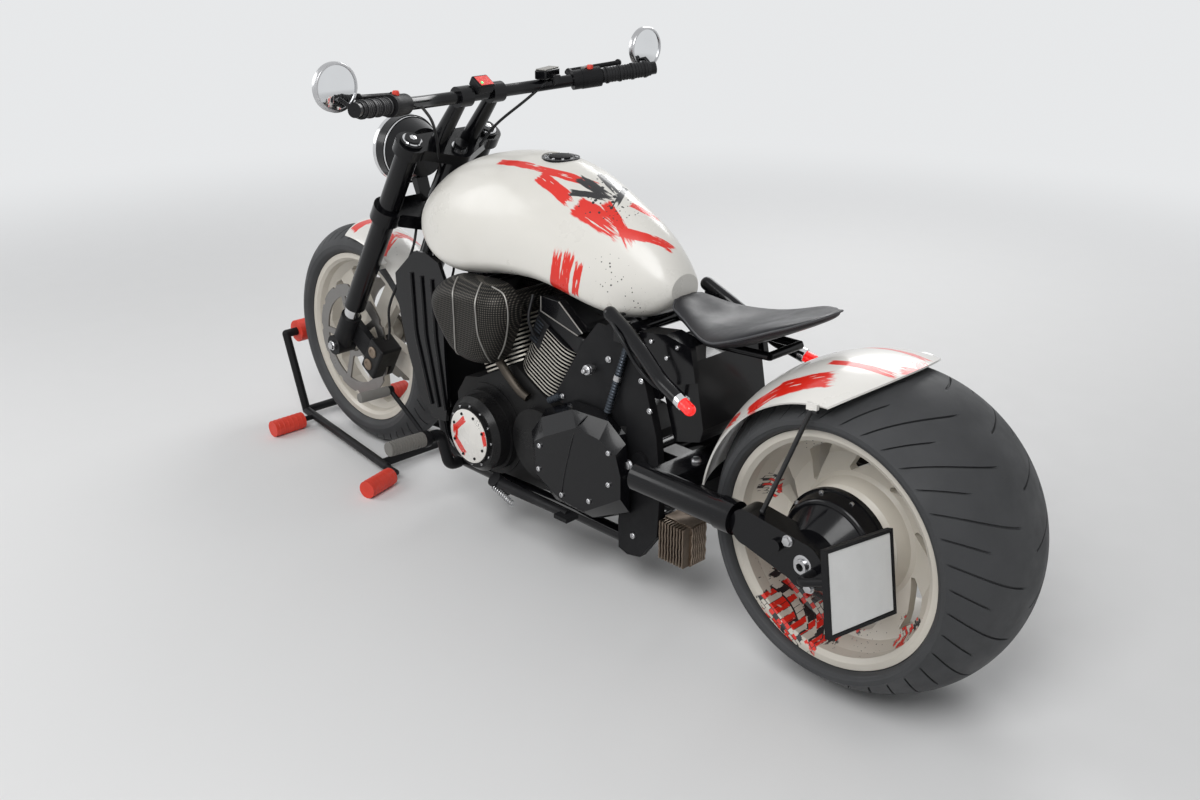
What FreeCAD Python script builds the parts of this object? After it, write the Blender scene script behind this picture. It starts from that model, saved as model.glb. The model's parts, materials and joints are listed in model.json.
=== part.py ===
import FreeCAD, Part
import Sketcher
import math
import os

from FreeCAD import Placement, Rotation, Vector

# Driving dimensions, in millimetres and degrees.
# Places along the machine are measured forward from the rear axle, heights from the ground.
DIMENSIONS = (
    # Stance
    ("wheelbase", 1708),
    ("rake", 31.5),
    ("fork_offset", 45),
    ("seat_gap", 0.3),
    ("running_gap", 0.05),
    # Rear wheel and tyre
    ("rear_tyre_radius", 338),
    ("rear_crown_half", 176),
    ("rear_crown_edge", 268),
    ("rear_bead_half", 163),
    ("rear_side_bulge", 15),
    ("rear_rim_half", 159),
    ("rear_flange_radius", 244),
    ("rear_seat_radius", 229),
    ("rim_flange", 7),
    ("rim_wall", 8),
    ("rear_web_left", 62),
    ("rear_web_thickness", 22),
    ("rear_boss_radius", 118),
    ("rear_boss_face", 116),
    ("rear_hub_radius", 46),
    ("rear_slots", 9),
    ("rear_disc_radius", 137),
    ("rear_disc_face", 150),
    # Front wheel and tyre
    ("front_tyre_radius", 318),
    ("front_crown_half", 62),
    ("front_crown_edge", 281),
    ("front_bead_half", 52),
    ("front_side_bulge", 22),
    ("front_rim_half", 51),
    ("front_flange_radius", 243),
    ("front_seat_radius", 229),
    ("front_web_half", 14),
    ("front_hub_radius", 36),
    ("front_hub_half", 66),
    ("front_spokes", 5),
    ("front_disc_radius", 160),
    ("front_disc_face", 74),
    ("disc_thickness", 5),
    # Axles
    ("rear_axle_radius", 14),
    ("rear_axle_bore", 8),
    ("front_axle_radius", 12),
    ("front_axle_bore", 7),
    # Fork and bars
    ("fork_half", 118),
    ("fork_tube_radius", 29),
    ("fork_tube_low", 150),
    ("fork_tube_top", 728),
    ("slider_radius", 22),
    ("slider_low", 112),
    ("lower_yoke_height", 470),
    ("lower_yoke_thickness", 42),
    ("upper_yoke_height", 692),
    ("upper_yoke_thickness", 30),
    ("riser_half", 50),
    ("bar_radius", 15),
    ("bar_height", 885),
    ("bar_setback", 42),
    ("bar_bend_half", 150),
    ("bar_end_half", 445),
    ("bar_end_height", 987),
    ("bar_end_setback", 147),
    ("grip_radius", 18),
    ("grip_length", 128),
    ("mirror_half", 470),
    ("mirror_radius", 52),
    # Rear frame and swingarm
    ("shaft_half", 220),
    ("shaft_radius", 32),
    ("shaft_height", 366),
    ("arm_face", 240),
    ("gear_case_radius", 120),
    ("pivot_reach", 520),
    ("pivot_height", 350),
    ("pivot_bolt_radius", 11),
    ("beam_reach", 365),
    ("plate_half", 118),
    ("plate_thickness", 20),
    # Rear fender
    ("fender_gap", 13),
    ("fender_sheet", 4),
    ("fender_half", 184),
    ("fender_edge_radius", 301),
    ("fender_low_angle", 9),
    ("fender_tip_angle", 118),
    ("fender_tail_reach", 62),
    ("fender_tail_radius", 281),
    # Number plate
    ("plate_width", 184),
    ("plate_tall", 146),
    ("plate_reach", -163),
    ("plate_across", 292),
    ("plate_height", 391),
    ("plate_roll", 7.7),
    ("plate_lean", 14),
    # Engine
    ("crank_reach", 960),
    ("crank_height", 290),
    ("cylinder_lean", 27),
    ("case_half", 140),
    ("cylinder_base", 146),
    ("fin_half_length", 88),
    ("fin_half_width", 116),
    ("fin_pitch", 10),
    ("fin_thickness", 4),
    ("fin_count", 16),
    ("fin_corner", 62),
    ("cylinder_gap", 3),
    ("intake_radius", 30),
    ("air_cleaner_face", 150),
    ("air_cleaner_depth", 86),
    ("alternator_ahead", 96),
    ("alternator_drop", 31),
    ("alternator_radius", 96),
    ("alternator_disc_radius", 72),
    # Frame
    ("head_tube_radius", 33),
    ("backbone_radius", 27),
    ("downtube_radius", 17),
    ("downtube_half", 96),
    ("rail_height", 118),
    ("loop_radius", 16),
    # Tank
    ("cap_radius", 44),
    ("cap_height", 928),
    ("tunnel_gap", 5),
    # Foot controls and side stand
    ("peg_ahead", 48),
    ("peg_height", 214),
    ("peg_inner", 200),
    ("peg_outer", 330),
    ("toe_ahead", 130),
    ("toe_rise", 98),
    ("stand_reach", 988),
    ("stand_half", 160),
    ("stand_height", 146),
    ("stand_eye_half", 16),
    ("stand_eye_radius", 19),
    # Front fender
    ("front_fender_gap", 14),
    ("front_fender_half", 74),
    ("front_fender_drop", 34),
    ("front_fender_sheet", 3),
    ("front_fender_start", 88),
    ("front_fender_sweep", 48),
    # Wheel chock
    ("chock_tube", 12),
    ("hoop_gap", 20),
    ("hoop_height", 250),
    ("hoop_half", 88),
    ("chock_roller_radius", 24),
    ("chock_front_reach", 272),
    ("chock_rear_reach", 236),
    ("chock_rear_half", 155),
    ("chock_roller_length", 100),
    ("sleeve_radius", 33),
    ("sleeve_half", 52),
)


class Size(float):
    """A driving dimension, or sums of them, with the expression that gives it."""

    def __new__(cls, value, text):
        size = super().__new__(cls, value)
        size.text = text
        return size

    def joined(self, other, sign, value, swap=False):
        pair = [self.text, text_of(other)]
        if swap:
            pair.reverse()
        return Size(value, "({} {} {})".format(pair[0], sign, pair[1]))

    def __add__(self, other):
        return self.joined(other, "+", float(self) + float(other))

    __radd__ = __add__

    def __sub__(self, other):
        return self.joined(other, "-", float(self) - float(other))

    def __rsub__(self, other):
        return self.joined(other, "-", float(other) - float(self), swap=True)

    def __mul__(self, other):
        return self.joined(other, "*", float(self) * float(other))

    __rmul__ = __mul__

    def __truediv__(self, other):
        return self.joined(other, "/", float(self) / float(other))

    def __neg__(self):
        return Size(-float(self), "(0 - {})".format(self.text))


def text_of(number):
    """The expression of a size, or a plain number as text."""
    return number.text if isinstance(number, Size) else repr(float(number))


class Sizes:
    """The sheet's cells by their aliases."""

    def __init__(self, document, dimensions):
        self.sheet = document.addObject("Spreadsheet::Sheet", "sizes")
        for row, (alias, value) in enumerate(dimensions, 1):
            self.sheet.set("A{}".format(row), alias)
            self.sheet.set("B{}".format(row), str(value))
            self.sheet.setAlias("B{}".format(row), alias)
        document.recompute()

    def __getattr__(self, alias):
        return Size(float(self.sheet.get(alias)), "sizes." + alias)


doc = FreeCAD.newDocument("Motorcycle")
S = Sizes(doc, DIMENSIONS)

# The frame's origin is below the middle of the whole object.
HOOP_REACH = S.front_tyre_radius + S.hoop_gap + 2 * S.chock_tube
MIDDLE = (S.wheelbase + HOOP_REACH - S.rear_tyre_radius) / 2
ALTERNATOR_REACH = S.crank_reach + S.alternator_ahead
ALTERNATOR_HEIGHT = S.crank_height - S.alternator_drop
PEG_REACH = ALTERNATOR_REACH + S.alternator_radius + S.peg_ahead
HEAD_FOOT = S.cylinder_base + S.fin_count * S.fin_pitch
INTAKE_HEIGHT = S.crank_height + (HEAD_FOOT + 48) * math.cos(math.radians(S.cylinder_lean))
X_AXIS = Vector(1, 0, 0)
Y_AXIS = Vector(0, 1, 0)
Z_AXIS = Vector(0, 0, 1)
SIDES = (1, -1)


# Placing

def place(thing, reach, height, tilt=0.0):
    """Put a thing's origin at a reach and height on the middle plane, turned about Y."""
    thing.Placement = Placement(Vector(reach - MIDDLE, 0, height), Rotation(Y_AXIS, float(tilt)))
    thing.setExpression("Placement.Base.x", text_of(reach - MIDDLE))
    thing.setExpression("Placement.Base.z", text_of(height))
    if tilt:
        thing.setExpression("Placement.Rotation.Angle", text_of(tilt))
    return thing


def on_machine(thing):
    return place(thing, 0, 0)


def on_rear_axle(thing):
    return place(thing, 0, S.rear_tyre_radius)


def on_front_axle(thing):
    return place(thing, S.wheelbase, S.front_tyre_radius)


def on_fork(thing):
    """Fork pieces: X forward off the fork, Z up along it, from the front axle."""
    rotation = Rotation(Y_AXIS, -float(S.rake))
    thing.Placement = Placement(Vector(S.wheelbase - MIDDLE, 0, S.front_tyre_radius), rotation)
    thing.setExpression("Placement.Base.x", text_of(S.wheelbase - MIDDLE))
    thing.setExpression("Placement.Base.z", text_of(S.front_tyre_radius))
    thing.setExpression("Placement.Rotation.Angle", text_of(360 - S.rake))
    return thing


# Sketched bodies

def body(label):
    piece = doc.addObject("PartDesign::Body", label)
    piece.Label = label
    return piece


def sketch(piece, name, role):
    plane = [item for item in piece.Origin.OriginFeatures if item.Role == role][0]
    drawing = piece.newObject("Sketcher::SketchObject", name)
    drawing.AttachmentSupport = [(plane, "")]
    drawing.MapMode = "FlatFace"
    return drawing


def bind_last(drawing, constraint, size):
    """Add a constraint and tie its value to the sheet."""
    number = drawing.addConstraint(constraint)
    if isinstance(size, Size):
        drawing.setExpression("Constraints[{}]".format(number), size.text)


def arc_between(start, end, radius):
    """The arc from start to end that bulges to the right of the way between them."""
    chord = end - start
    half = chord.Length / 2
    drop = math.sqrt(radius ** 2 - half ** 2)
    left = Vector(-chord.y, chord.x, 0).normalize()
    centre = (start + end) * 0.5 + left * drop
    first = math.atan2(start.y - centre.y, start.x - centre.x)
    last = math.atan2(end.y - centre.y, end.x - centre.x)
    return Part.ArcOfCircle(Part.Circle(centre, Z_AXIS, radius), first, last)


def outline(drawing, corners):
    """Draw a closed outline, anticlockwise. A corner is (across, up), or (across, up, radius)
    where an arc of that radius bulges out on the way to the next corner."""
    first = drawing.GeometryCount
    points = [Vector(float(corner[0]), float(corner[1]), 0) for corner in corners]
    for number, corner in enumerate(corners):
        start, end = points[number], points[(number + 1) % len(points)]
        if len(corner) == 3:
            drawing.addGeometry(arc_between(start, end, float(corner[2])))
        else:
            drawing.addGeometry(Part.LineSegment(start, end))
    for number, corner in enumerate(corners):
        here = first + number
        after = first + (number + 1) % len(corners)
        drawing.addConstraint(Sketcher.Constraint("Coincident", here, 2, after, 1))
        across, up = corner[0], corner[1]
        bind_last(drawing, Sketcher.Constraint("DistanceX", -1, 1, here, 1, float(across)), across)
        bind_last(drawing, Sketcher.Constraint("DistanceY", -1, 1, here, 1, float(up)), up)
        if len(corner) == 3:
            bind_last(drawing, Sketcher.Constraint("Radius", here, float(corner[2])), corner[2])
    return drawing


def turn_about_axle(piece, drawing, name="Turned"):
    """Turn a section in (across the machine, out from the axle) about the axle."""
    turned = piece.newObject("PartDesign::Revolution", name)
    turned.Profile = drawing
    turned.ReferenceAxis = (drawing, ["H_Axis"])
    turned.Angle = 360
    return turned


def cut_through(piece, drawing, name):
    """Cut an outline right through, both ways."""
    pocket = piece.newObject("PartDesign::Pocket", name)
    pocket.Profile = drawing
    pocket.Type = "ThroughAll"
    pocket.Midplane = True
    return pocket


def repeat_about_axle(piece, feature, count, name):
    pattern = piece.newObject("PartDesign::PolarPattern", name)
    pattern.Originals = [feature]
    plane_axis = [item for item in piece.Origin.OriginFeatures if item.Role == "Y_Axis"][0]
    pattern.Axis = (plane_axis, [""])
    pattern.Angle = 360
    pattern.Occurrences = int(count)
    pattern.setExpression("Occurrences", text_of(count))
    piece.Tip = pattern
    return pattern


# Free shapes

def settled(shape):
    """The shape with its own turn and shift worked into its geometry."""
    bare = shape.copy()
    bare.Placement = Placement()
    return bare.transformed(shape.Placement.toMatrix(), True)


def feature(label, shape):
    piece = doc.addObject("Part::Feature", label)
    piece.Label = label
    piece.Shape = settled(shape)
    return piece


def fused(shapes):
    """One shape of pieces that are welded or cast together."""
    whole = shapes[0].multiFuse(shapes[1:]) if len(shapes) > 1 else shapes[0]
    return whole.removeSplitter()


def apart(shapes):
    """Like pieces that don't touch, kept as solids of their own."""
    solids = []
    for shape in shapes:
        solids.extend(shape.Solids)
    return Part.makeCompound(solids)


def both_sides(shape):
    """A shape and its mirror image across the middle plane."""
    return [shape, shape.mirror(Vector(0, 0, 0), Y_AXIS)]


def rod(start, end, radius):
    way = end - start
    return Part.makeCylinder(float(radius), way.Length, start, way)


def cone(start, end, first, last):
    way = end - start
    return Part.makeCone(float(first), float(last), way.Length, start, way)


def across_rod(x, z, radius, low, high):
    """A round bar across the machine."""
    return rod(Vector(x, low, z), Vector(x, high, z), radius)


def block(low, high):
    size = [high[axis] - low[axis] for axis in range(3)]
    return Part.makeBox(size[0], size[1], size[2], Vector(*low))


def round_corners(points, radii):
    """A path of straight runs joined by tangent arcs, one radius for each inner point."""
    edges = []
    here = points[0]
    for number in range(1, len(points) - 1):
        corner = points[number]
        back = (points[number - 1] - corner).normalize()
        on = (points[number + 1] - corner).normalize()
        half = back.getAngle(on) / 2
        trim = radii[number - 1] / math.tan(half)
        first = corner + back * trim
        last = corner + on * trim
        bisector = (back + on).normalize()
        middle = corner + bisector * (radii[number - 1] / math.sin(half) - radii[number - 1])
        if (first - here).Length > 0.01:
            edges.append(Part.LineSegment(here, first).toShape())
        edges.append(Part.Arc(first, middle, last).toShape())
        here = last
    edges.append(Part.LineSegment(here, points[-1]).toShape())
    return Part.Wire(edges)


def tube(points, radius, bend):
    """A round bar along a bent path. bend is one radius, or one for each inner point."""
    radii = bend if isinstance(bend, (list, tuple)) else [bend] * (len(points) - 2)
    path = round_corners(points, radii)
    way = points[1] - points[0]
    ring = Part.Wire([Part.Circle(points[0], way, float(radius)).toShape()])
    return path.makePipeShell([ring], True, True)


def prism(corners, low, high):
    """An outline in (along, up) drawn out across the machine from low to high."""
    points = [Vector(x, low, z) for x, z in corners]
    face = Part.Face(Part.makePolygon(points + points[:1]))
    return face.extrude(Vector(0, high - low, 0))


def softened(shape, radius, chosen=None):
    """Round the edges, all or those that the choice takes."""
    edges = [edge for edge in shape.Edges if chosen is None or chosen(edge)]
    return shape.makeFillet(radius, edges)


def ring_section(half, low, high, crown, square_above, square_below):
    """A closed ring across the machine, as points from the top round by the left.
    A squareness is the power of the rounding: 2 is an ellipse, more is squarer."""
    count = 24
    middle = low + (high - low) * crown
    points = []
    for number in range(count):
        angle = 2 * math.pi * number / count
        across, up = math.sin(angle), math.cos(angle)
        square = square_above if up > 0 else square_below
        reach = (abs(across) ** square + abs(up) ** square) ** (-1 / square)
        rise = high - middle if up > 0 else middle - low
        points.append((half * reach * across, middle + rise * reach * up))
    return points


def loft(stations):
    """A closed skin over sections, each
    (x, half width, low, high, widest share, squareness above, squareness below)."""
    wires = []
    for x, *section in stations:
        ring = [Vector(x, y, z) for y, z in ring_section(*section)]
        curve = Part.BSplineCurve()
        curve.interpolate(ring, PeriodicFlag=True)
        wires.append(Part.Wire([curve.toShape()]))
    return Part.makeLoft(wires, True, False)


# Wheels and tyres

def crown_radius(half, drop):
    """Radius of an arc of that half width and rise."""
    value = (float(half) ** 2 + float(drop) ** 2) / (2 * float(drop))
    square = "({0} * {0} + {1} * {1}) / (2 * {1})".format(half.text, drop.text)
    return Size(value, "(" + square + ")")


def tyre(label, radius, crown_half, crown_edge, bead_half, bulge, rim_half, flange, seat):
    """A tyre: round crown, bulging sides, beads inside the rim's flanges."""
    piece = body(label)
    bead = rim_half - S.rim_flange - S.seat_gap
    bead_low = seat + S.seat_gap
    bead_high = flange + 2
    drawing = sketch(piece, label + "_section", "YZ_Plane")
    outline(drawing, [
        (-bead, bead_low),
        (bead, bead_low),
        (bead, bead_high),
        (bead_half, bead_high, bulge),
        (crown_half, crown_edge, crown_radius(crown_half, radius - crown_edge)),
        (-crown_half, crown_edge, bulge),
        (-bead_half, bead_high),
        (-bead, bead_high),
    ])
    turn_about_axle(piece, drawing)
    return piece


def rear_tyre():
    piece = tyre("rear_tyre", S.rear_tyre_radius, S.rear_crown_half, S.rear_crown_edge,
                 S.rear_bead_half, S.rear_side_bulge, S.rear_rim_half, S.rear_flange_radius,
                 S.rear_seat_radius)
    return on_rear_axle(piece)


def front_tyre():
    piece = tyre("front_tyre", S.front_tyre_radius, S.front_crown_half, S.front_crown_edge,
                 S.front_bead_half, S.front_side_bulge, S.front_rim_half, S.front_flange_radius,
                 S.front_seat_radius)
    return on_front_axle(piece)


def rear_wheel():
    """A deep dished wheel: barrel, bowl, slotted web, raised boss and a hub to the right."""
    piece = body("rear_wheel")
    half, flange, seat = S.rear_rim_half, S.rear_flange_radius, S.rear_seat_radius
    inner = seat - S.rim_wall
    left = S.rear_web_left
    right = left - S.rear_web_thickness
    bore = S.rear_axle_radius + S.running_gap
    hub_end = -(S.rear_disc_face - S.disc_thickness)
    drawing = sketch(piece, "rear_wheel_section", "YZ_Plane")
    outline(drawing, [
        (hub_end, bore),
        (S.rear_boss_face, bore),
        (S.rear_boss_face, S.rear_boss_radius - 14),
        (S.rear_boss_face - 14, S.rear_boss_radius),
        (left + 6, S.rear_boss_radius + 8),
        (left, S.rear_boss_radius + 16),
        (left, inner - 48),
        (left + 26, inner - 12),
        (left + 62, inner),
        (half - S.rim_flange, inner),
        (half, inner + 10),
        (half, flange),
        (half - S.rim_flange, flange),
        (half - S.rim_flange, seat),
        (S.rim_flange - half, seat),
        (S.rim_flange - half, flange),
        (-half, flange),
        (-half, inner + 10),
        (S.rim_flange - half, inner),
        (right - 10, inner),
        (right, inner - 12),
        (right, S.rear_boss_radius),
        (right - 16, S.rear_hub_radius + 14),
        (right - 40, S.rear_hub_radius),
        (hub_end, S.rear_hub_radius),
    ])
    turn_about_axle(piece, drawing)
    slot = sketch(piece, "rear_wheel_slot", "XZ_Plane")
    inside, outside = S.rear_boss_radius + 14, inner - 24
    outline(slot, [
        (27, inside),
        (32, inside + 6),
        (17, inside + 33, 120),
        (-7, outside - 5),
        (-35, outside - 2),
        (-72, outside - 14),
        (-43, outside - 24),
        (0, inside + 18),
    ])
    pocket = cut_through(piece, slot, "rear_wheel_opening")
    repeat_about_axle(piece, pocket, S.rear_slots, "rear_wheel_openings")
    return on_rear_axle(piece)


def front_wheel():
    """A cast wheel of five broad spokes."""
    piece = body("front_wheel")
    half, flange, seat = S.front_rim_half, S.front_flange_radius, S.front_seat_radius
    inner = seat - S.rim_wall
    web = S.front_web_half
    bore = S.front_axle_radius + S.running_gap
    drawing = sketch(piece, "front_wheel_section", "YZ_Plane")
    outline(drawing, [
        (-S.front_hub_half, bore),
        (S.front_hub_half, bore),
        (S.front_hub_half, S.front_hub_radius),
        (web + 16, S.front_hub_radius + 6),
        (web, S.front_hub_radius + 30),
        (web, inner - 26),
        (web + 14, inner - 6),
        (half - S.rim_flange, inner),
        (half, inner + 8),
        (half, flange),
        (half - S.rim_flange, flange),
        (half - S.rim_flange, seat),
        (S.rim_flange - half, seat),
        (S.rim_flange - half, flange),
        (-half, flange),
        (-half, inner + 8),
        (S.rim_flange - half, inner),
        (-(web + 14), inner - 6),
        (-web, inner - 26),
        (-web, S.front_hub_radius + 30),
        (-(web + 16), S.front_hub_radius + 6),
        (-S.front_hub_half, S.front_hub_radius),
    ])
    turn_about_axle(piece, drawing)
    gap = sketch(piece, "front_wheel_gap", "XZ_Plane")
    outside = inner - 20
    outline(gap, [
        (-12, S.front_hub_radius + 30),
        (12, S.front_hub_radius + 30),
        (74, outside - 42),
        (84, outside - 26),
        (66, outside - 12),
        (0, outside + 2),
        (-66, outside - 12),
        (-84, outside - 26),
        (-74, outside - 42),
    ])
    pocket = cut_through(piece, gap, "front_wheel_opening")
    repeat_about_axle(piece, pocket, S.front_spokes, "front_wheel_openings")
    return on_front_axle(piece)


def brake_disc(radius, inner, petals, face, thickness):
    """A petal brake disc on the right or left of its wheel, from its outer face inward."""
    ring = across_rod(0, 0, radius, face, face + thickness)
    ring = ring.cut(across_rod(0, 0, inner, face - 1, face + thickness + 1))
    notches = []
    for number in range(petals):
        angle = 2 * math.pi * number / petals
        x, z = (radius + 7) * math.cos(angle), (radius + 7) * math.sin(angle)
        notches.append(across_rod(x, z, 13, face - 1, face + thickness + 1))
    return ring.cut(notches)


def carrier(outer, inner, arms, face, thickness, bore):
    """The disc's carrier: a ring on the hub with arms out to the disc."""
    ring = across_rod(0, 0, inner, face, face + thickness)
    shapes = [ring]
    for number in range(arms):
        arm = block((0, face, -9), (outer, face + thickness, 9))
        arm.rotate(Vector(0, 0, 0), Y_AXIS, 360 * number / arms)
        shapes.append(arm)
    return fused(shapes).cut(across_rod(0, 0, bore, face - 1, face + thickness + 1))


def rear_brake_disc():
    face = -S.rear_disc_face
    thickness = S.disc_thickness - S.seat_gap
    disc = brake_disc(S.rear_disc_radius, S.rear_disc_radius - 34, 12, face, thickness)
    hub = carrier(S.rear_disc_radius - 30, 54, 6, face, thickness, S.rear_axle_radius + 6)
    return on_rear_axle(feature("rear_brake_disc", fused([disc, hub])))


def front_brake_discs():
    face = S.front_disc_face
    disc = brake_disc(S.front_disc_radius, S.front_disc_radius - 34, 12, face, S.disc_thickness)
    hub = carrier(S.front_disc_radius - 30, 50, 5, face, S.disc_thickness, 34)
    sleeve = across_rod(0, 0, 50, S.front_hub_half + S.seat_gap, face + S.disc_thickness)
    sleeve = sleeve.cut(across_rod(0, 0, 34, 0, face + 10))
    disc = fused([disc, hub, sleeve])
    return on_front_axle(feature("front_brake_discs", apart(both_sides(disc))))


def hollow_axle(label, radius, bore, half):
    """A hollow axle, made of two cylinders."""
    outer = doc.addObject("Part::Cylinder", label + "_outer")
    outer.setExpression("Radius", text_of(radius))
    outer.setExpression("Height", text_of(2 * half))
    inner = doc.addObject("Part::Cylinder", label + "_inner")
    inner.setExpression("Radius", text_of(bore))
    inner.setExpression("Height", text_of(2 * half))
    for part in (outer, inner):
        part.Placement = Placement(Vector(0, -half, 0), Rotation(X_AXIS, -90))
        part.setExpression("Placement.Base.y", text_of(-half))
    piece = doc.addObject("Part::Cut", label)
    piece.Label = label
    piece.Base = outer
    piece.Tool = inner
    return piece


def rear_axle():
    half = S.arm_face + 8
    return on_rear_axle(hollow_axle("rear_axle", S.rear_axle_radius, S.rear_axle_bore, half))


def front_axle():
    half = S.fork_half + 34
    return on_front_axle(hollow_axle("front_axle", S.front_axle_radius, S.front_axle_bore, half))


# Swingarm, final drive and rear fender

def final_drive():
    """The bevel gear case: a bell in the wheel's dish and the arm's end casting outside it."""
    start = S.rear_boss_face + 8
    radius = S.gear_case_radius
    bell = across_rod(0, 0, radius, start, start + 12)
    waist = Part.makeCone(radius - 4, radius - 14, 30, Vector(0, start + 12, 0), Y_AXIS)
    waist = softened(waist, 9, lambda edge: edge.CenterOfMass.y > start + 40)
    shoulder = Part.makeCone(radius - 22, 62, 44, Vector(0, start + 40, 0), Y_AXIS)
    bell = fused([bell, waist])
    dx = 140
    dz = S.shaft_height - S.rear_tyre_radius
    low, high = S.shaft_half - S.shaft_radius + 2, S.arm_face
    end = across_rod(0, 0, 48, low, high)
    front = across_rod(dx, dz, 38, low, high)
    web = prism([(-8, -48), (dx, dz - 38), (dx, dz + 38), (0, 48)], low, high)
    throat = across_rod(40, 10, 40, start + 20, high - 4)
    case = fused([bell, shoulder, throat, end, front, web])
    hole = across_rod(0, 0, S.rear_axle_radius + S.seat_gap, 0, high + 20)
    socket = across_rod(0, 0, 22, high - 12, high + 1)
    bolt = across_rod(62, 22, 13, high - 1, high + 9)
    case = fused([case, bolt]).cut(hole).cut(socket)
    return on_rear_axle(feature("final_drive", case))


def swingarm():
    """Pivot tube, cross beam, shaft tube on the left and box arm on the right."""
    pivot = across_rod(S.pivot_reach, S.pivot_height, 30, -(S.plate_half - 2), S.plate_half - 2)
    beam_low, beam_high = S.beam_reach, S.beam_reach + 62
    centre = S.shaft_height
    outer = S.shaft_half + 14
    beam = block((beam_low, -outer, centre - 26), (beam_high, outer, centre + 20))
    shapes = [pivot, beam]
    for side in SIDES:
        middle = 74 * side
        shapes.append(block((beam_high - 10, middle - 24, S.pivot_height - 22),
                            (S.pivot_reach, middle + 24, S.pivot_height + 22)))
    joint = 140 + 38 + S.seat_gap
    shapes.append(rod(Vector(joint, S.shaft_half, centre), Vector(beam_high + 24, S.shaft_half, centre),
                      S.shaft_radius))
    shapes.append(rod(Vector(joint, S.shaft_half, centre), Vector(joint + 40, S.shaft_half, centre),
                      S.shaft_radius + 3))
    axle = S.rear_tyre_radius
    face = -(S.arm_face - 8)
    arm = prism([(-30, axle - 34), (40, axle - 36), (beam_low + 20, centre - 30),
                 (beam_high, centre - 26), (beam_high, centre + 20), (beam_low, centre + 26),
                 (40, axle + 34), (-30, axle + 30)], face, face + 34)
    shapes.append(arm)
    whole = fused(shapes)
    hole = across_rod(0, axle, S.rear_axle_radius + S.seat_gap, -300, 0)
    pin = across_rod(S.pivot_reach, S.pivot_height, S.pivot_bolt_radius + S.seat_gap, -300, 300)
    return on_machine(feature("swingarm", whole.cut(hole).cut(pin)))


def rear_caliper():
    """Caliper over the rear edge of the right disc, held by a bracket on the axle."""
    face = -S.rear_disc_face
    body_low = face - 34
    angle = math.radians(38)
    reach = S.rear_disc_radius - 8
    x, z = reach * math.cos(angle), reach * math.sin(angle)
    jaw = block((x - 38, body_low, z - 26), (x + 38, face + 34, z + 30))
    jaw = softened(jaw, 6)
    gap = across_rod(0, 0, S.rear_disc_radius + 8, face - 6, face + S.disc_thickness + 6)
    jaw = jaw.cut(gap)
    bracket = prism([(0, -30), (30, -22), (x - 6, z - 20), (x - 34, z + 4), (0, 30)],
                    face - 30, face - 14)
    ring = across_rod(0, 0, 30, face - 30, face - 14)
    whole = fused([jaw, bracket, ring])
    whole = whole.cut(across_rod(0, 0, S.rear_axle_radius + S.seat_gap, -300, 0))
    return on_rear_axle(feature("rear_caliper", whole))


def rear_fender():
    """A steel fender that hugs the tyre, turned about the axle, with a rounded tail in plan."""
    crown = S.rear_tyre_radius + S.fender_gap
    edge = S.fender_edge_radius
    arc = crown_radius(S.fender_half, crown - edge)
    outside = arc + S.fender_sheet
    section = outline_face([
        Vector(0, -S.fender_half, edge), Vector(0, 0, crown), Vector(0, S.fender_half, edge)],
        float(S.fender_sheet), arc, outside)
    start, end = float(S.fender_low_angle), float(S.fender_tip_angle)
    section.rotate(Vector(0, 0, 0), Y_AXIS, 90 - start)
    shell = section.revolve(Vector(0, 0, 0), Vector(0, -1, 0), end - start)
    centre = S.fender_tail_radius - S.fender_tail_reach
    plan = Part.makeCylinder(float(S.fender_tail_radius), 2 * crown, Vector(centre, 0, 0))
    shell = shell.common(plan)
    slant = S.fender_half / arc
    side = S.fender_half + S.fender_sheet * slant
    left, right = fender_braces(side)
    return on_rear_axle(feature("rear_fender", apart([shell, left, right])))


def fender_braces(side):
    """Rods from the shaft tube and the right arm up to tabs on the fender's sides."""
    shapes = []
    top = Vector(36, side + 5, S.fender_edge_radius - 4)
    tab = block((top.x - 12, side + S.seat_gap, top.z - 8), (top.x + 12, side + 8, top.z + 10))
    rise = S.shaft_height - S.rear_tyre_radius
    ball = 6
    foot = Vector(112, S.shaft_half + 4, 48 + (rise - 10) * 112 / 140 + ball + 2 * S.seat_gap)
    shapes.append(fused([tab, rod(foot, top, 5), Part.makeSphere(ball, foot)]))
    foot = Vector(112, S.arm_face - 24, 39 + ball + S.seat_gap)
    right = fused([tab, rod(foot, top, 5), Part.makeSphere(ball, foot)])
    shapes.append(right.mirror(Vector(0, 0, 0), Y_AXIS))
    return shapes


def outline_face(points, sheet, arc, outside):
    """The fender's section: an arc through three points, with a wall outside it."""
    low, top, high = points
    inner = Part.Arc(low, top, high).toShape()
    centre = Vector(0, 0, top.z - arc)
    spread = (high - centre)
    far = centre + spread * (outside / arc)
    near = Vector(0, -far.y, far.z)
    outer = Part.Arc(near, Vector(0, 0, top.z + sheet), far).toShape()
    sides = [Part.LineSegment(high, far).toShape(), Part.LineSegment(near, low).toShape()]
    return Part.Face(Part.Wire([inner, sides[0], outer, sides[1]]))


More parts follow.
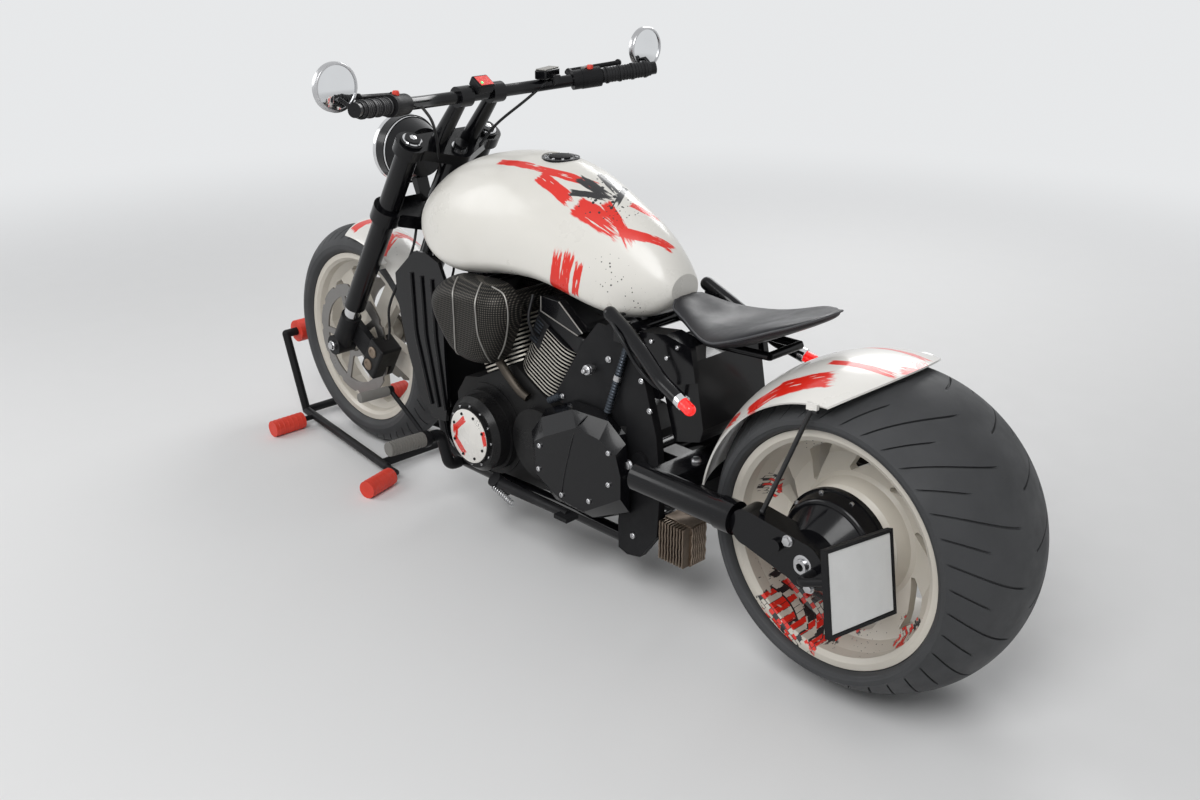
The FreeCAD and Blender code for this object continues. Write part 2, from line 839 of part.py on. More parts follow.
def number_plate():
    """A blank plate in a frame, on an arm from the left end casting."""
    wide, tall = S.plate_width / 2, S.plate_tall / 2
    rim = 6
    frame = block((-6, -wide - rim, -tall - rim), (6, wide + rim, tall + rim))
    shape = frame.cut(block((-10, -wide, -tall), (-3, wide, tall)))
    shape.rotate(Vector(0, 0, 0), X_AXIS, S.plate_roll)
    shape.rotate(Vector(0, 0, 0), Y_AXIS, S.plate_lean)
    spot = Vector(S.plate_reach, S.plate_across, S.plate_height)
    shape.translate(spot)
    end = Vector(-26, S.arm_face + S.seat_gap, S.rear_tyre_radius - 4)
    arm = tube([spot, Vector(end.x, spot.y, end.z), end], 8, 24)
    return on_machine(feature("number_plate", fused([shape, arm])))


# Frame

def steer_point(along, forward=0.0, across=0.0):
    """A point of the steering axis on the machine, by its height along the fork."""
    rake = math.radians(S.rake)
    n = forward - S.fork_offset
    x = S.wheelbase + n * math.cos(rake) - along * math.sin(rake)
    z = S.front_tyre_radius + n * math.sin(rake) + along * math.cos(rake)
    return Vector(x, across, z)


def head_tube():
    low = steer_point(S.lower_yoke_height + S.lower_yoke_thickness + S.seat_gap)
    high = steer_point(S.upper_yoke_height - S.seat_gap)
    return rod(low, high, S.head_tube_radius)


def main_frame():
    """Head tube, backbone, downtubes and bottom rails, welded."""
    shapes = [head_tube()]
    neck = steer_point(S.lower_yoke_height + S.lower_yoke_thickness + 36)
    seat_end = Vector(606, 0, 620)
    backbone = [neck, Vector(1250, 0, 712), Vector(780, 0, 692), seat_end]
    shapes.append(tube(backbone, S.backbone_radius, [150, 200]))
    inside = S.plate_half - S.seat_gap
    shapes.append(across_rod(seat_end.x, seat_end.z, 14, -inside, inside))
    half = S.downtube_half
    high = steer_point(S.lower_yoke_height + S.lower_yoke_thickness + 63)
    for side in SIDES:
        top = Vector(high.x - 26, 16 * side, high.z)
        knee = Vector(1345, half * side, 610)
        foot = Vector(1262, half * side, S.rail_height)
        back = Vector(560, half * side, S.rail_height)
        shapes.append(tube([top, knee, foot, back], S.downtube_radius, [50, 90]))
    shapes.append(across_rod(600, S.rail_height, S.downtube_radius, -half, half))
    shapes.append(across_rod(1220, S.rail_height, S.downtube_radius, -half, half))
    for side in SIDES:
        shapes.append(tube([Vector(seat_end.x, 60 * side, seat_end.z), Vector(500, 60 * side, 620),
                            Vector(420, 60 * side, 635.6), Vector(250, 50 * side, 643.6)], 9, 60))
    shapes.append(rod(Vector(250, -50, 643.6), Vector(250, 50, 643.6), 9))
    boss = stand_pivot() + stand_axis() * (S.stand_eye_half + S.seat_gap)
    boss_end = boss + stand_axis() * 26
    shapes.append(rod(boss, boss_end, 15))
    shapes.append(rod(boss_end - stand_axis() * 12, Vector(S.stand_reach, half, S.rail_height), 12))
    return on_machine(feature("main_frame", fused(shapes)))


def pivot_plates():
    """Two plates that carry the swingarm and join backbone and rails, with cross pieces."""
    low, high = S.plate_half, S.plate_half + S.plate_thickness
    outline_points = [(560, 104), (520, 112), (470, 180), (462, 300), (476, 420), (520, 560),
                      (560, 640), (612, 652), (640, 630), (604, 560), (566, 430), (572, 300),
                      (590, 180), (588, 112)]
    plate = prism(outline_points, low, high)
    nut = across_rod(S.pivot_reach, S.pivot_height, 22, high - 1, high + 8)
    bolt = across_rod(S.pivot_reach, S.pivot_height, S.pivot_bolt_radius, -high, high)
    panel = prism([(560, 420), (596, 566), (630, 634), (662, 634), (705, 582), (800, 430), (786, 412),
                   (640, 396)], high - 10, high - 4)
    shapes = both_sides(fused([plate, nut])) + [bolt, panel]
    return on_machine(feature("pivot_plates", fused(shapes)))


# The left loop's line, from under the tank to its lamp.
LOOP_PATH = (
    Vector(600, 156, 676), Vector(545, 162, 650), Vector(497, 170, 624), Vector(418, 186, 578),
    Vector(346, 200, 556),
)


def rear_loops():
    """Glossy tubes from under the tank down to the tail lamps."""
    left = tube(list(LOOP_PATH), S.loop_radius, [80, 200, 120])
    cap = Part.makeSphere(float(S.loop_radius), LOOP_PATH[0])
    plate_face = S.plate_half + S.plate_thickness + S.seat_gap
    tab = block((556, plate_face, 616), (592, 154, 664))
    left = fused([left, tab, cap])
    left = left.cut(block((400, 0, 560), (700, plate_face, 700)))
    return on_machine(feature("rear_loops", apart(both_sides(left))))


def tail_lamps():
    end = LOOP_PATH[-1]
    way = (end - LOOP_PATH[-2]).normalize()
    start = end + way * S.seat_gap
    lamp = rod(start, start + way * 22, 13)
    lens = Part.makeSphere(13, start + way * 22)
    return on_machine(feature("tail_lamps", apart(both_sides(fused([lamp, lens])))))


def side_covers():
    """The battery's box under the seat, with flush side covers and ears on the pivot plates."""
    half = 106
    box = prism([(372, 460), (380, 430), (452, 410), (462, 440), (500, 560), (540, 606), (400, 606)],
                -half, half)
    cover = prism([(384, 566), (468, 540), (520, 600), (548, 640), (470, 652), (400, 640)],
                  half, half + 15)
    inner = half - 34
    rim = prism([(400, 600), (520, 600), (540, 606), (548, 640), (470, 652), (400, 640)], inner, half)
    reach = S.plate_half - S.seat_gap
    ear = block((486, half - 1, 500), (512, reach, 530))
    shapes = [box] + both_sides(cover) + both_sides(rim) + both_sides(ear)
    return on_machine(feature("side_covers", fused(shapes)))


def radiator():
    """A finned core between the downtubes."""
    rise = math.atan2(1352 - 1262, 610 - S.rail_height)
    core = block((-16, -72, 0), (16, 72, 330))
    slots = []
    for number in range(15):
        z = 14 + number * 21
        slots.append(block((8, -64, z), (17, 64, z + 12)))
    core = core.cut(Part.makeCompound(slots))
    ears = []
    reach = S.downtube_half - S.downtube_radius - S.seat_gap
    for z in (60, 270):
        ears.extend(both_sides(block((-12, 71, z), (0, reach, z + 24))))
    core = fused([core] + ears)
    core.rotate(Vector(0, 0, 0), Y_AXIS, math.degrees(rise))
    core.translate(Vector(1292, 0, 230))
    return on_machine(feature("radiator", core))


def radiator_cowl():
    """A shroud round the downtubes with side panels that flare to the tank."""
    outer = [(1424, 584), (1420, 520), (1408, 462), (1386, 376), (1342, 262), (1292, 218),
             (1238, 222), (1226, 290), (1231, 400), (1231, 520), (1218, 606), (1240, 648), (1290, 664),
             (1340, 658)]
    low = S.downtube_half + S.downtube_radius + S.seat_gap
    high = low + 10
    panel = prism(outer, low, high)
    ribs = []
    for number in range(3):
        shift = number * 42
        rib = tube([Vector(1352 - shift, high + 2, 600), Vector(1346 - shift, high + 2, 440),
                    Vector(1292 - shift * 0.7, high + 2, 256)], 5, 200)
        ribs.append(rib)
    panel = fused([panel] + ribs)
    tie = block((1240, -low - 1, 236), (1256, low + 1, 248))
    return on_machine(feature("radiator_cowl", fused(both_sides(panel) + [tie])))


# Engine

def crankcase():
    """The case round the crank and gearbox, with two faces on top for the cylinders."""
    lean = math.radians(S.cylinder_lean)
    reach, base, half = S.crank_reach, S.cylinder_base, S.fin_half_length - 8
    peak = S.crank_height + base / math.cos(lean)
    step = base * math.sin(lean) + half * math.cos(lean)
    shoulder = S.crank_height + base * math.cos(lean) - half * math.sin(lean)
    corners = [(780, 160), (1130, 146), (1180, 200), (1186, 320), (1150, 372),
               (reach + step, shoulder), (reach, peak), (reach - step, shoulder),
               (760, 374), (690, 368), (640, 330), (640, 220), (700, 170)]
    case = prism(corners, -S.case_half + 20, S.case_half - 20)
    reach, height, half = ALTERNATOR_REACH, ALTERNATOR_HEIGHT, S.case_half
    barrel = fused([across_rod(reach, height, 118, 18 - half, half - 18),
                    across_rod(reach, height, 104, -half, half)])
    gearbox = across_rod(860, 280, 90, -S.case_half, S.case_half)
    reach = S.plate_half - S.seat_gap
    rear_lug = block((560, -reach, 200), (660, reach, 240))
    reach = S.downtube_half - S.downtube_radius - S.seat_gap
    front_lug = block((1170, -reach, 196), (1280, reach, 222))
    return on_machine(feature("crankcase", fused([case, barrel, gearbox, rear_lug, front_lug])))


def cylinder(label, lean):
    """A finned barrel, head and rocker cover, from the crank's centre up its own axis."""
    half_x, half_y = S.fin_half_length, S.fin_half_width
    base = S.cylinder_base + S.seat_gap
    core = Part.makeCylinder(58, S.fin_count * S.fin_pitch + 8, Vector(0, 0, base))
    shapes = [core]
    for number in range(int(S.fin_count)):
        z = base + 4 + number * S.fin_pitch
        fin = block((-half_x, -half_y, z), (half_x, half_y, z + S.fin_thickness))
        fin = softened(fin, float(S.fin_corner), lambda edge: edge.Length < S.fin_thickness + 0.1)
        shapes.append(fin)
    top = base + 4 + S.fin_count * S.fin_pitch
    head = block((-half_x + 8, -half_y + 6, top - 6), (half_x - 8, half_y - 6, top + 44))
    shapes.append(softened(head, 10))
    cover = block((-58, -half_y + 22, top + 34), (58, half_y - 22, top + 60))
    shapes.append(softened(cover, 12))
    whole = fused(shapes)
    side = 1 if lean > 0 else -1
    far = 400
    edge = S.cylinder_gap / 2
    beyond = Part.makeBox(far, 2 * far, 3 * far, Vector(edge - far if side > 0 else -edge, -far, -far))
    beyond.rotate(Vector(0, 0, 0), Y_AXIS, -lean)
    whole = whole.cut(beyond)
    piece = feature(label, whole)
    return place(piece, S.crank_reach, S.crank_height, lean)


def front_cylinder():
    return cylinder("front_cylinder", S.cylinder_lean)


def rear_cylinder():
    piece = cylinder("rear_cylinder", -S.cylinder_lean)
    return piece


def alternator_cover():
    """The round left cover with its pale disc."""
    piece = body("alternator_cover")
    drawing = sketch(piece, "alternator_cover_section", "YZ_Plane")
    low = S.case_half + S.seat_gap
    radius, disc = S.alternator_radius, S.alternator_disc_radius
    outline(drawing, [
        (low, 0), (low + 52, 0), (low + 52, disc), (low + 44, disc + 1),
        (low + 44, radius - 12), (low + 30, radius), (low, radius)])
    turn_about_axle(piece, drawing)
    return place(piece, ALTERNATOR_REACH, ALTERNATOR_HEIGHT)


def clutch_cover():
    """The round right cover."""
    piece = body("clutch_cover")
    drawing = sketch(piece, "clutch_cover_section", "YZ_Plane")
    low = -(S.case_half + S.seat_gap)
    radius = S.alternator_radius
    outline(drawing, [
        (low, 0), (low, radius), (low - 30, radius), (low - 42, radius - 14), (low - 42, 0)])
    turn_about_axle(piece, drawing)
    return place(piece, ALTERNATOR_REACH - 60, ALTERNATOR_HEIGHT + 20)


def drive_cover():
    """The faceted cover over the drive at the left rear of the engine."""
    low = S.case_half + S.seat_gap
    base = [(864, 330), (830, 384), (729, 434), (622, 438), (566, 402), (552, 330), (548, 214),
            (640, 168), (781, 165), (850, 206)]
    shoulder = [(846, 330), (812, 376), (706, 428), (590, 434), (536, 396), (524, 330), (524, 236),
                (640, 180), (762, 182), (832, 222)]
    face = [(806, 326), (772, 348), (664, 404), (590, 398), (540, 376), (524, 330), (524, 276),
            (640, 204), (722, 208), (800, 246)]
    wires = []
    for corners, y in ((base, low), (shoulder, low + 30), (face, low + 58)):
        points = [Vector(x, y, z) for x, z in corners]
        wires.append(Part.makePolygon(points + points[:1]))
    cover = Part.makeLoft(wires, True, True)
    return on_machine(feature("drive_cover", cover))


# The air cleaner's outline, (forward, up) from its middle.
AIR_CLEANER = (
    (108, 60), (84, 80), (-34, 100), (-98, 101), (-135, 83), (-149, 42), (-120, -39), (-80, -94),
    (-36, -106), (20, -94), (72, -46),
)


def air_cleaners():
    """Teardrop air cleaners below the tank, on the ends of the intake between the heads."""
    corners = AIR_CLEANER
    face, depth = S.air_cleaner_face, S.air_cleaner_depth
    middle = Vector(S.crank_reach + 84, 0, INTAKE_HEIGHT - 38)
    wires = []
    for share, out in ((1.0, 0), (0.96, 0.5), (0.82, 0.84), (0.56, 1.0)):
        points = []
        for x, z in corners:
            points.append(middle + Vector(x * share, face + depth * out, z * share))
        curve = Part.BSplineCurve()
        curve.interpolate(points, PeriodicFlag=True)
        wires.append(Part.Wire([curve.toShape()]))
    cleaner = Part.makeLoft(wires, True, False)
    duct = across_rod(S.crank_reach, INTAKE_HEIGHT, S.intake_radius, -face - 1, face + 1)
    whole = fused(both_sides(cleaner) + [duct, intake_stub(1), intake_stub(-1)])
    return on_machine(feature("air_cleaners", whole))


def cylinder_point(side, out, along, across=0.0):
    """A point by the front (1) or rear (-1) cylinder: out from its own axis, away from the vee,
    and along that axis from the crank."""
    lean = math.radians(S.cylinder_lean)
    x = S.crank_reach + side * (out * math.cos(lean) + along * math.sin(lean))
    z = S.crank_height - out * math.sin(lean) + along * math.cos(lean)
    return Vector(x, across, z)


def intake_stub(side):
    """The intake's branch to one head, which stops short of the head's face."""
    along = HEAD_FOOT + 28
    face = S.fin_half_length - 8
    stub = rod(Vector(S.crank_reach, 0, INTAKE_HEIGHT), cylinder_point(side, -face, along), 18)
    far = 400
    inside = Part.makeBox(far, far, 2 * far, Vector(-face - S.seat_gap, -far / 2, -far))
    inside.rotate(Vector(0, 0, 0), Y_AXIS, S.cylinder_lean)
    inside.translate(Vector(S.crank_reach, 0, S.crank_height))
    if side < 0:
        inside = inside.mirror(Vector(S.crank_reach, 0, 0), X_AXIS)
    return stub.cut(inside)


def exhaust():
    """Headers from both cylinders into a silencer low on the right."""
    y = -232
    ports = []
    for side in SIDES:
        along = HEAD_FOOT + 26
        face = S.fin_half_length - 8 + S.seat_gap
        ports.append([cylinder_point(side, face, along, -50), cylinder_point(side, face + 30, along, -50)])
    front = tube(ports[0] + [Vector(1196, -150, 420), Vector(1160, -178, 300),
                             Vector(1120, -204, 178), Vector(890, y, 166)], 21, [26, 70, 90, 60])
    rear = tube(ports[1] + [Vector(708, -182, 350), Vector(700, y, 200)], 21, [26, 90])
    silencer = rod(Vector(905, y, 166), Vector(430, y - 4, 204), 44)
    return on_machine(feature("exhaust", fused([front, rear, silencer])))


# Tank and seat

def fuel_tank():
    """A stretched teardrop tank over the backbone."""
    stations = [
        (1314, 68, 722, 778, 0.4, 2.3, 2.4),
        (1298, 122, 702, 816, 0.34, 2.3, 2.8),
        (1250, 150, 670, 870, 0.3, 2.3, 3.6),
        (1150, 168, 647, 917, 0.28, 2.2, 4.2),
        (1000, 167, 668, 944, 0.26, 2.1, 4.2),
        (850, 151, 677, 935, 0.26, 1.95, 4.2),
        (700, 124, 644, 880, 0.27, 1.84, 4.0),
        (600, 90, 642, 826, 0.28, 1.85, 3.6),
        (552, 64, 662, 780, 0.34, 1.9, 3.0),
        (528, 42, 686, 746, 0.45, 2.0, 2.4),
    ]
    skin = loft(stations)
    side = S.backbone_radius + S.tunnel_gap
    tunnel = prism([(540, 560), (1260, 560), (1260, 748), (1200, 748), (780, 726), (600, 668),
                    (540, 640)], -side, side)
    neck = block((1240, -side, 600), (1400, side, 770))
    notch = rod(steer_point(300), steer_point(900), S.head_tube_radius + S.tunnel_gap)
    recess = Part.makeCylinder(S.cap_radius + S.seat_gap, 60, Vector(920, 0, S.cap_height))
    tank = skin.cut(tunnel).cut(neck).cut(notch).cut(recess)
    pads = []
    for x, low in ((860, 686), (1180, 700)):
        pad = block((x - 20, -side - 1, low), (x + 20, -S.backbone_radius - S.seat_gap, low + 20))
        pads.extend(both_sides(pad))
    return on_machine(feature("fuel_tank", fused([tank] + pads)))


def fuel_cap():
    cap = Part.makeCylinder(S.cap_radius, 14, Vector(920, 0, S.cap_height + S.seat_gap))
    return on_machine(feature("fuel_cap", cap))


def seat():
    """A sprung solo saddle: narrow nose, broad dished middle, raised rear lip."""
    stations = [
        (523, 38, 681, 708, 0.5, 2.6, 2.6),
        (508, 59, 669, 702, 0.5, 2.6, 2.6),
        (462, 76, 656, 692, 0.5, 2.6, 2.6),
        (400, 110, 648, 686, 0.5, 2.6, 2.6),
        (320, 148, 652, 696, 0.5, 2.6, 2.6),
        (240, 132, 682, 725, 0.5, 2.6, 2.6),
        (184, 82, 711, 736, 0.5, 2.6, 2.6),
        (147, 40, 732, 747, 0.5, 2.6, 2.6),
    ]
    return on_machine(feature("seat", loft(stations)))


def rectifier():
    """A finned box low behind the pivot."""
    core = block((392, 62, 128), (470, 112, 226))
    fins = []
    for number in range(9):
        x = 394 + number * 8.6
        fins.append(block((x, 112, 130), (x + 3.6, 134, 224)))
    return on_machine(feature("rectifier", fused([core] + fins)))


# Foot controls and stand

def foot_controls():
    """Pegs on forged arms from the rails, with toe levers that turn about the pegs' shafts."""
    x, z = PEG_REACH, S.peg_height
    root = S.downtube_half + S.downtube_radius + S.seat_gap
    start, end = S.peg_inner, S.peg_inner + 44
    arm = tube([Vector(x, root, S.rail_height), Vector(x, root + 34, S.rail_height),
                Vector(x, start - 30, z), Vector(x, start, z)], 15, [24, 24])
    shaft = across_rod(x, z, 11, start - 4, end)
    peg = rod(Vector(x, end - 1, z), Vector(x + 4, S.peg_outer, z + 4), 16)
    pad_x, pad_z = x + S.toe_ahead, z + S.toe_rise
    ring_low, ring_high = start + 12, start + 26
    ring = across_rod(x, z, 22, ring_low, ring_high)
    way = tube([Vector(x + 12, ring_low + 7, z + 14), Vector(x + 52, ring_low + 11, z + 46),
                Vector(pad_x, ring_low + 14, pad_z)], 6, 40)
    toe = rod(Vector(pad_x, ring_low + 8, pad_z), Vector(pad_x + 4, S.peg_outer - 12, pad_z + 2), 11)
    lever = fused([ring, way, toe]).cut(across_rod(x, z, 11 + S.seat_gap, start - 9, end + 9))
    shapes = both_sides(fused([arm, shaft, peg])) + both_sides(lever)
    return on_machine(feature("foot_controls", apart(shapes)))


def stand_pivot():
    return Vector(S.stand_reach, S.stand_half, S.stand_height)


def stand_axis():
    """The stand's hinge leans so that the leg folds back and up and swings out and down."""
    folded = Vector(-297, 40, 32)
    parked = Vector(50, 212, -206)
    return folded.cross(parked).normalize()


def side_stand():
    """The stand's leg, folded back along the rail."""
    pivot = stand_pivot()
    foot = pivot + Vector(-297, 40, 32)
    leg = cone(pivot, foot, 15, 10)
    eye = rod(pivot - stand_axis() * S.stand_eye_half, pivot + stand_axis() * S.stand_eye_half,
              S.stand_eye_radius)
    pad = block((foot.x - 22, foot.y - 12, foot.z - 5), (foot.x + 20, foot.y + 26, foot.z + 5))
    return on_machine(feature("side_stand", fused([leg, eye, pad])))


# Fork, bars and lights, in the fork's own frame

def fork_tubes():
    shapes = []
    for side in SIDES:
        y = S.fork_half * side
        low = Vector(0, y, S.fork_tube_low)
        high = Vector(0, y, S.fork_tube_top)
        leg = rod(low, high, S.fork_tube_radius)
        cap = Part.makeCylinder(20, 9, high)
        shapes.append(fused([leg, cap]))
    return on_fork(feature("fork_tubes", apart(shapes)))


def fork_sliders():
    shapes = []
    for side in SIDES:
        y = S.fork_half * side
        low = Vector(0, y, S.slider_low)
        shapes.append(rod(low, Vector(0, y, S.fork_tube_low), S.slider_radius))
    return on_fork(feature("fork_sliders", apart(shapes)))


def fork_feet():
    """Lower castings with the axle's clamps and the caliper's lugs."""
    shapes = []
    inner = S.front_disc_face + S.disc_thickness + 10
    for side in SIDES:
        y = S.fork_half * side
        leg = rod(Vector(0, y, 10), Vector(0, y, S.slider_low), 28)
        low, high = sorted((inner * side, (S.fork_half + 28) * side))
        clamp = across_rod(0, 0, 28, low, high)
        lug = block((-96 + S.seat_gap, min(inner * side, (inner + 18) * side), 30),
                    (-6, max(inner * side, (inner + 18) * side), 96))
        leg = fused([leg, clamp, lug])
        shapes.append(leg.cut(across_rod(0, 0, S.front_axle_radius + S.seat_gap, -300, 300)))
    return on_fork(feature("fork_feet", apart(shapes)))


def front_calipers():
    face = S.front_disc_face
    jaw = block((-158, face - 24, 10), (-96, face + 46, 118))
    jaw = softened(jaw, 7)
    gap = across_rod(0, 0, S.front_disc_radius + 6, face - 6, face + S.disc_thickness + 6)
    jaw = jaw.cut(gap)
    return on_fork(feature("front_calipers", apart(both_sides(jaw))))


def yoke(height, thickness, stem):
    """A fork clamp: two eyes round the legs and a bridge past the steering axis."""
    hold = S.fork_tube_radius
    half, boss = S.fork_half, 18
    rear = -S.fork_offset - 30
    corners = [(24, half), (24, -half), (-28, -half), (rear, -boss), (rear, boss), (-28, half)]
    points = [Vector(x, y, height) for x, y in corners]
    plate = Part.Face(Part.makePolygon(points + points[:1])).extrude(Vector(0, 0, thickness))
    shapes = [plate]
    for side in SIDES:
        shapes.append(Part.makeCylinder(hold + 11, thickness, Vector(0, S.fork_half * side, height)))
    shapes.append(Part.makeCylinder(36, thickness, Vector(-S.fork_offset, 0, height)))
    if stem:
        shapes.append(Part.makeCylinder(17, 16, Vector(-S.fork_offset, 0, height + thickness)))
    whole = fused(shapes)
    for side in SIDES:
        hole = Part.makeCylinder(hold + S.seat_gap, thickness + 60,
                                 Vector(0, S.fork_half * side, height - 30))
        whole = whole.cut(hole)
    return whole


def fork_yokes():
    lower = yoke(S.lower_yoke_height, S.lower_yoke_thickness, False)
    upper = yoke(S.upper_yoke_height, S.upper_yoke_thickness, True)
    return on_fork(feature("fork_yokes", apart([lower, upper])))


def bar_points():
    """The handlebar's path, from the left end to the right."""
    end = (-S.bar_end_setback, S.bar_end_half, S.bar_end_height)
    bend = (-S.bar_setback, S.bar_bend_half, S.bar_height)
    return [Vector(*end), Vector(*bend), Vector(bend[0], -bend[1], bend[2]),
            Vector(end[0], -end[1], end[2])]


def handlebar():
    bar = tube(bar_points(), S.bar_radius, 120)
    return on_fork(feature("handlebar", bar))


def risers():
    """Two thick posts from the upper yoke that lean back to the bar's clamps."""
    shapes = []
    top = S.upper_yoke_height + S.upper_yoke_thickness
    for side in SIDES:
        y = S.riser_half * side
        foot = Vector(-18, y, top + S.seat_gap)
        head = Vector(-S.bar_setback, y, S.bar_height)
        post = cone(foot, head, 22, 17)
        clamp = across_rod(head.x, head.z, S.bar_radius + 10, y - 19, y + 19)
        post = fused([post, clamp])
        hole = across_rod(head.x, head.z, S.bar_radius + S.seat_gap, y - 40, y + 40)
        shapes.append(post.cut(hole).cut(block((-200, -200, top - 40), (200, 200, top + S.seat_gap))))
    return on_fork(feature("risers", apart(shapes)))


def bar_way():
    """The unit way from the left bend out to the left end."""
    end, bend = bar_points()[0], bar_points()[1]
    return (end - bend).normalize()


def along_bar(distance):
    """A point on the left bar's straight end, measured in from its tip."""
    return bar_points()[0] - bar_way() * distance


def grips():
    inner = rod(along_bar(-10), along_bar(S.grip_length + 20), S.bar_radius + S.seat_gap)
    sleeve = rod(along_bar(0), along_bar(S.grip_length), S.grip_radius)
    for number in range(4):
        at = along_bar(12 + number * 34)
        sleeve = sleeve.fuse(rod(at, at - bar_way() * 5, S.grip_radius + 3))
    sleeve = sleeve.cut(inner)
    return on_fork(feature("grips", apart(both_sides(sleeve))))


def hand_controls():
    """Switch housings, perches and lever blades, clamped on the bar beside the grips."""
    inner = rod(along_bar(0), along_bar(300), S.bar_radius + S.seat_gap)
    housing = S.grip_length + 6
    box = rod(along_bar(housing), along_bar(housing + 50), 25)
    start = housing + 50
    perch = rod(along_bar(start), along_bar(start + 24), 24)
    forward = Vector(1, 0, -0.15).normalize()
    pivot = along_bar(start + 8) + forward * 42
    arm = rod(along_bar(start + 12), pivot, 9)
    tip = along_bar(54) + forward * 46
    blade = rod(pivot, tip, 6)
    ball = Part.makeSphere(9, tip)
    lever = fused([box, perch, arm, blade, ball]).cut(inner)
    return on_fork(feature("hand_controls", apart(both_sides(lever))))


def mirrors():
    """Round mirrors on short stalks from the bar's ends."""
    rake = math.radians(S.rake)
    centre = Vector(-88, S.mirror_half, 1004)
    facing = Vector(-math.cos(rake), 0, math.sin(rake))
    head = Part.makeCylinder(float(S.mirror_radius), 12, centre - facing * 6, facing)
    weight = rod(along_bar(-S.seat_gap), along_bar(-S.seat_gap - 14), 16)
    stalk = rod(along_bar(-10), centre - facing * 2 - Vector(0, 0, 20), 5)
    whole = fused([head, weight, stalk])
    return on_fork(feature("mirrors", apart(both_sides(whole))))


def headlight():
    rake = math.radians(S.rake)
    forward = Vector(math.cos(rake), 0, -math.sin(rake))
    centre = Vector(104, 0, 592)
    bowl = cone(centre - forward * 50, centre + forward * 10, 62, 84)
    rim = rod(centre + forward * 10, centre + forward * 44, 88)
    lens = rod(centre + forward * 44, centre + forward * 50, 80)
    foot = S.lower_yoke_height + S.lower_yoke_thickness + S.seat_gap
    bracket = prism([(-6, foot), (22, foot), (60, foot + 26), (96, foot + 30), (80, foot + 60),
                     (40, foot + 40)], -18, 18)
    return on_fork(feature("headlight", fused([bowl, rim, lens, bracket])))


def gauge():
    """A small dial case on the bar between the risers."""
    case = block((-S.bar_setback - 20, -24, S.bar_height + S.bar_radius + S.seat_gap),
                 (-S.bar_setback + 22, 24, S.bar_height + S.bar_radius + 26))
    return on_fork(feature("gauge", softened(case, 5)))


def front_fender():
    """A short fender over the back of the front tyre."""
    crown = S.front_tyre_radius + S.front_fender_gap
    half = S.front_fender_half
    edge = crown - S.front_fender_drop
    arc = crown_radius(half, S.front_fender_drop)
    sheet = float(S.front_fender_sheet)
    section = outline_face([Vector(0, -half, edge), Vector(0, 0, crown), Vector(0, half, edge)],
                           sheet, arc, arc + sheet)
    section.rotate(Vector(0, 0, 0), Y_AXIS, 90 - S.front_fender_start)
    shell = section.revolve(Vector(0, 0, 0), Vector(0, -1, 0), S.front_fender_sweep)
    inside = S.fork_half - S.fork_tube_radius - S.seat_gap
    lug = block((-14, half - 3, edge - 6), (14, inside, edge + 14))
    lug.rotate(Vector(0, 0, 0), Y_AXIS, -S.rake)
    return on_front_axle(feature("front_fender", fused([shell] + both_sides(lug))))


# Wheel chock

def chock_frame():
    """Side rails, hoop ahead of the tyre and the cradle's plates under it."""
    r = S.chock_tube
    front = S.wheelbase + S.chock_front_reach
    rear = S.wheelbase - S.chock_rear_reach
    low = S.chock_roller_radius
    hoop = S.wheelbase + S.front_tyre_radius + S.hoop_gap + r
    half = S.hoop_half
    shapes = []
    for side in SIDES:
        end = Vector(rear, S.chock_rear_half * side, low)
        shapes.append(rod(Vector(front, half * side, low), end, r))
        shapes.append(rod(Vector(front, half * side, low), Vector(hoop, half * side, S.hoop_height), r))
        shapes.append(Part.makeSphere(float(r), Vector(front, half * side, low)))
        shapes.append(Part.makeSphere(float(r), Vector(hoop, half * side, S.hoop_height)))
        inner = Vector(front - 58, (half + 8) * side, low)
        shapes.append(rod(inner, inner + Vector(0, 44 * side, 0), 8))
        shapes.append(Part.makeSphere(float(r), end))
        foot, knee = rear_roller(side)
        shapes.append(rod(end, knee, 8))
        shapes.append(Part.makeSphere(8, knee))
        shapes.append(rod(knee, foot, 8))
    shapes.append(rod(Vector(front, -half, low), Vector(front, half, low), r))
    shapes.append(rod(Vector(hoop, -half, S.hoop_height), Vector(hoop, half, S.hoop_height), r))
    inside = S.chock_rear_half - 6
    shapes.append(rod(Vector(rear + 30, -inside, low), Vector(rear + 30, inside, low), r))
    return on_machine(feature("chock_frame", fused(shapes)))


def rear_roller(side):
    """Where a rear roller starts, and the bend of the arm that holds it."""
    low = S.chock_roller_radius
    reach = S.wheelbase - S.chock_rear_reach
    knee = Vector(reach - 47, (S.chock_rear_half + 3) * side, low)
    return knee + Vector(-7, 25 * side, 0), knee


def chock_rollers():
    """Red rollers at the frame's four corners and a wide one on the hoop, before the tyre."""
    low, length = S.chock_roller_radius, S.chock_roller_length
    gap = S.seat_gap
    front = S.wheelbase + S.chock_front_reach - 58
    shapes = []
    for side in SIDES:
        inner = Vector(front, (S.hoop_half + 52 + gap) * side, low)
        shapes.append(rod(inner, inner + Vector(0, length * side, 0), low))
        foot, knee = rear_roller(side)
        way = (foot - knee).normalize()
        start = foot + way * gap
        shapes.append(rod(start, start + way * length, low))
    hoop = S.wheelbase + S.front_tyre_radius + S.hoop_gap + S.chock_tube
    half = S.sleeve_half
    sleeve = across_rod(hoop, S.hoop_height, S.sleeve_radius, -half, half)
    bore = across_rod(hoop, S.hoop_height, S.chock_tube + gap, -half - 1, half + 1)
    shapes.append(sleeve.cut(bore))
    return on_machine(feature("chock_rollers", apart(shapes)))


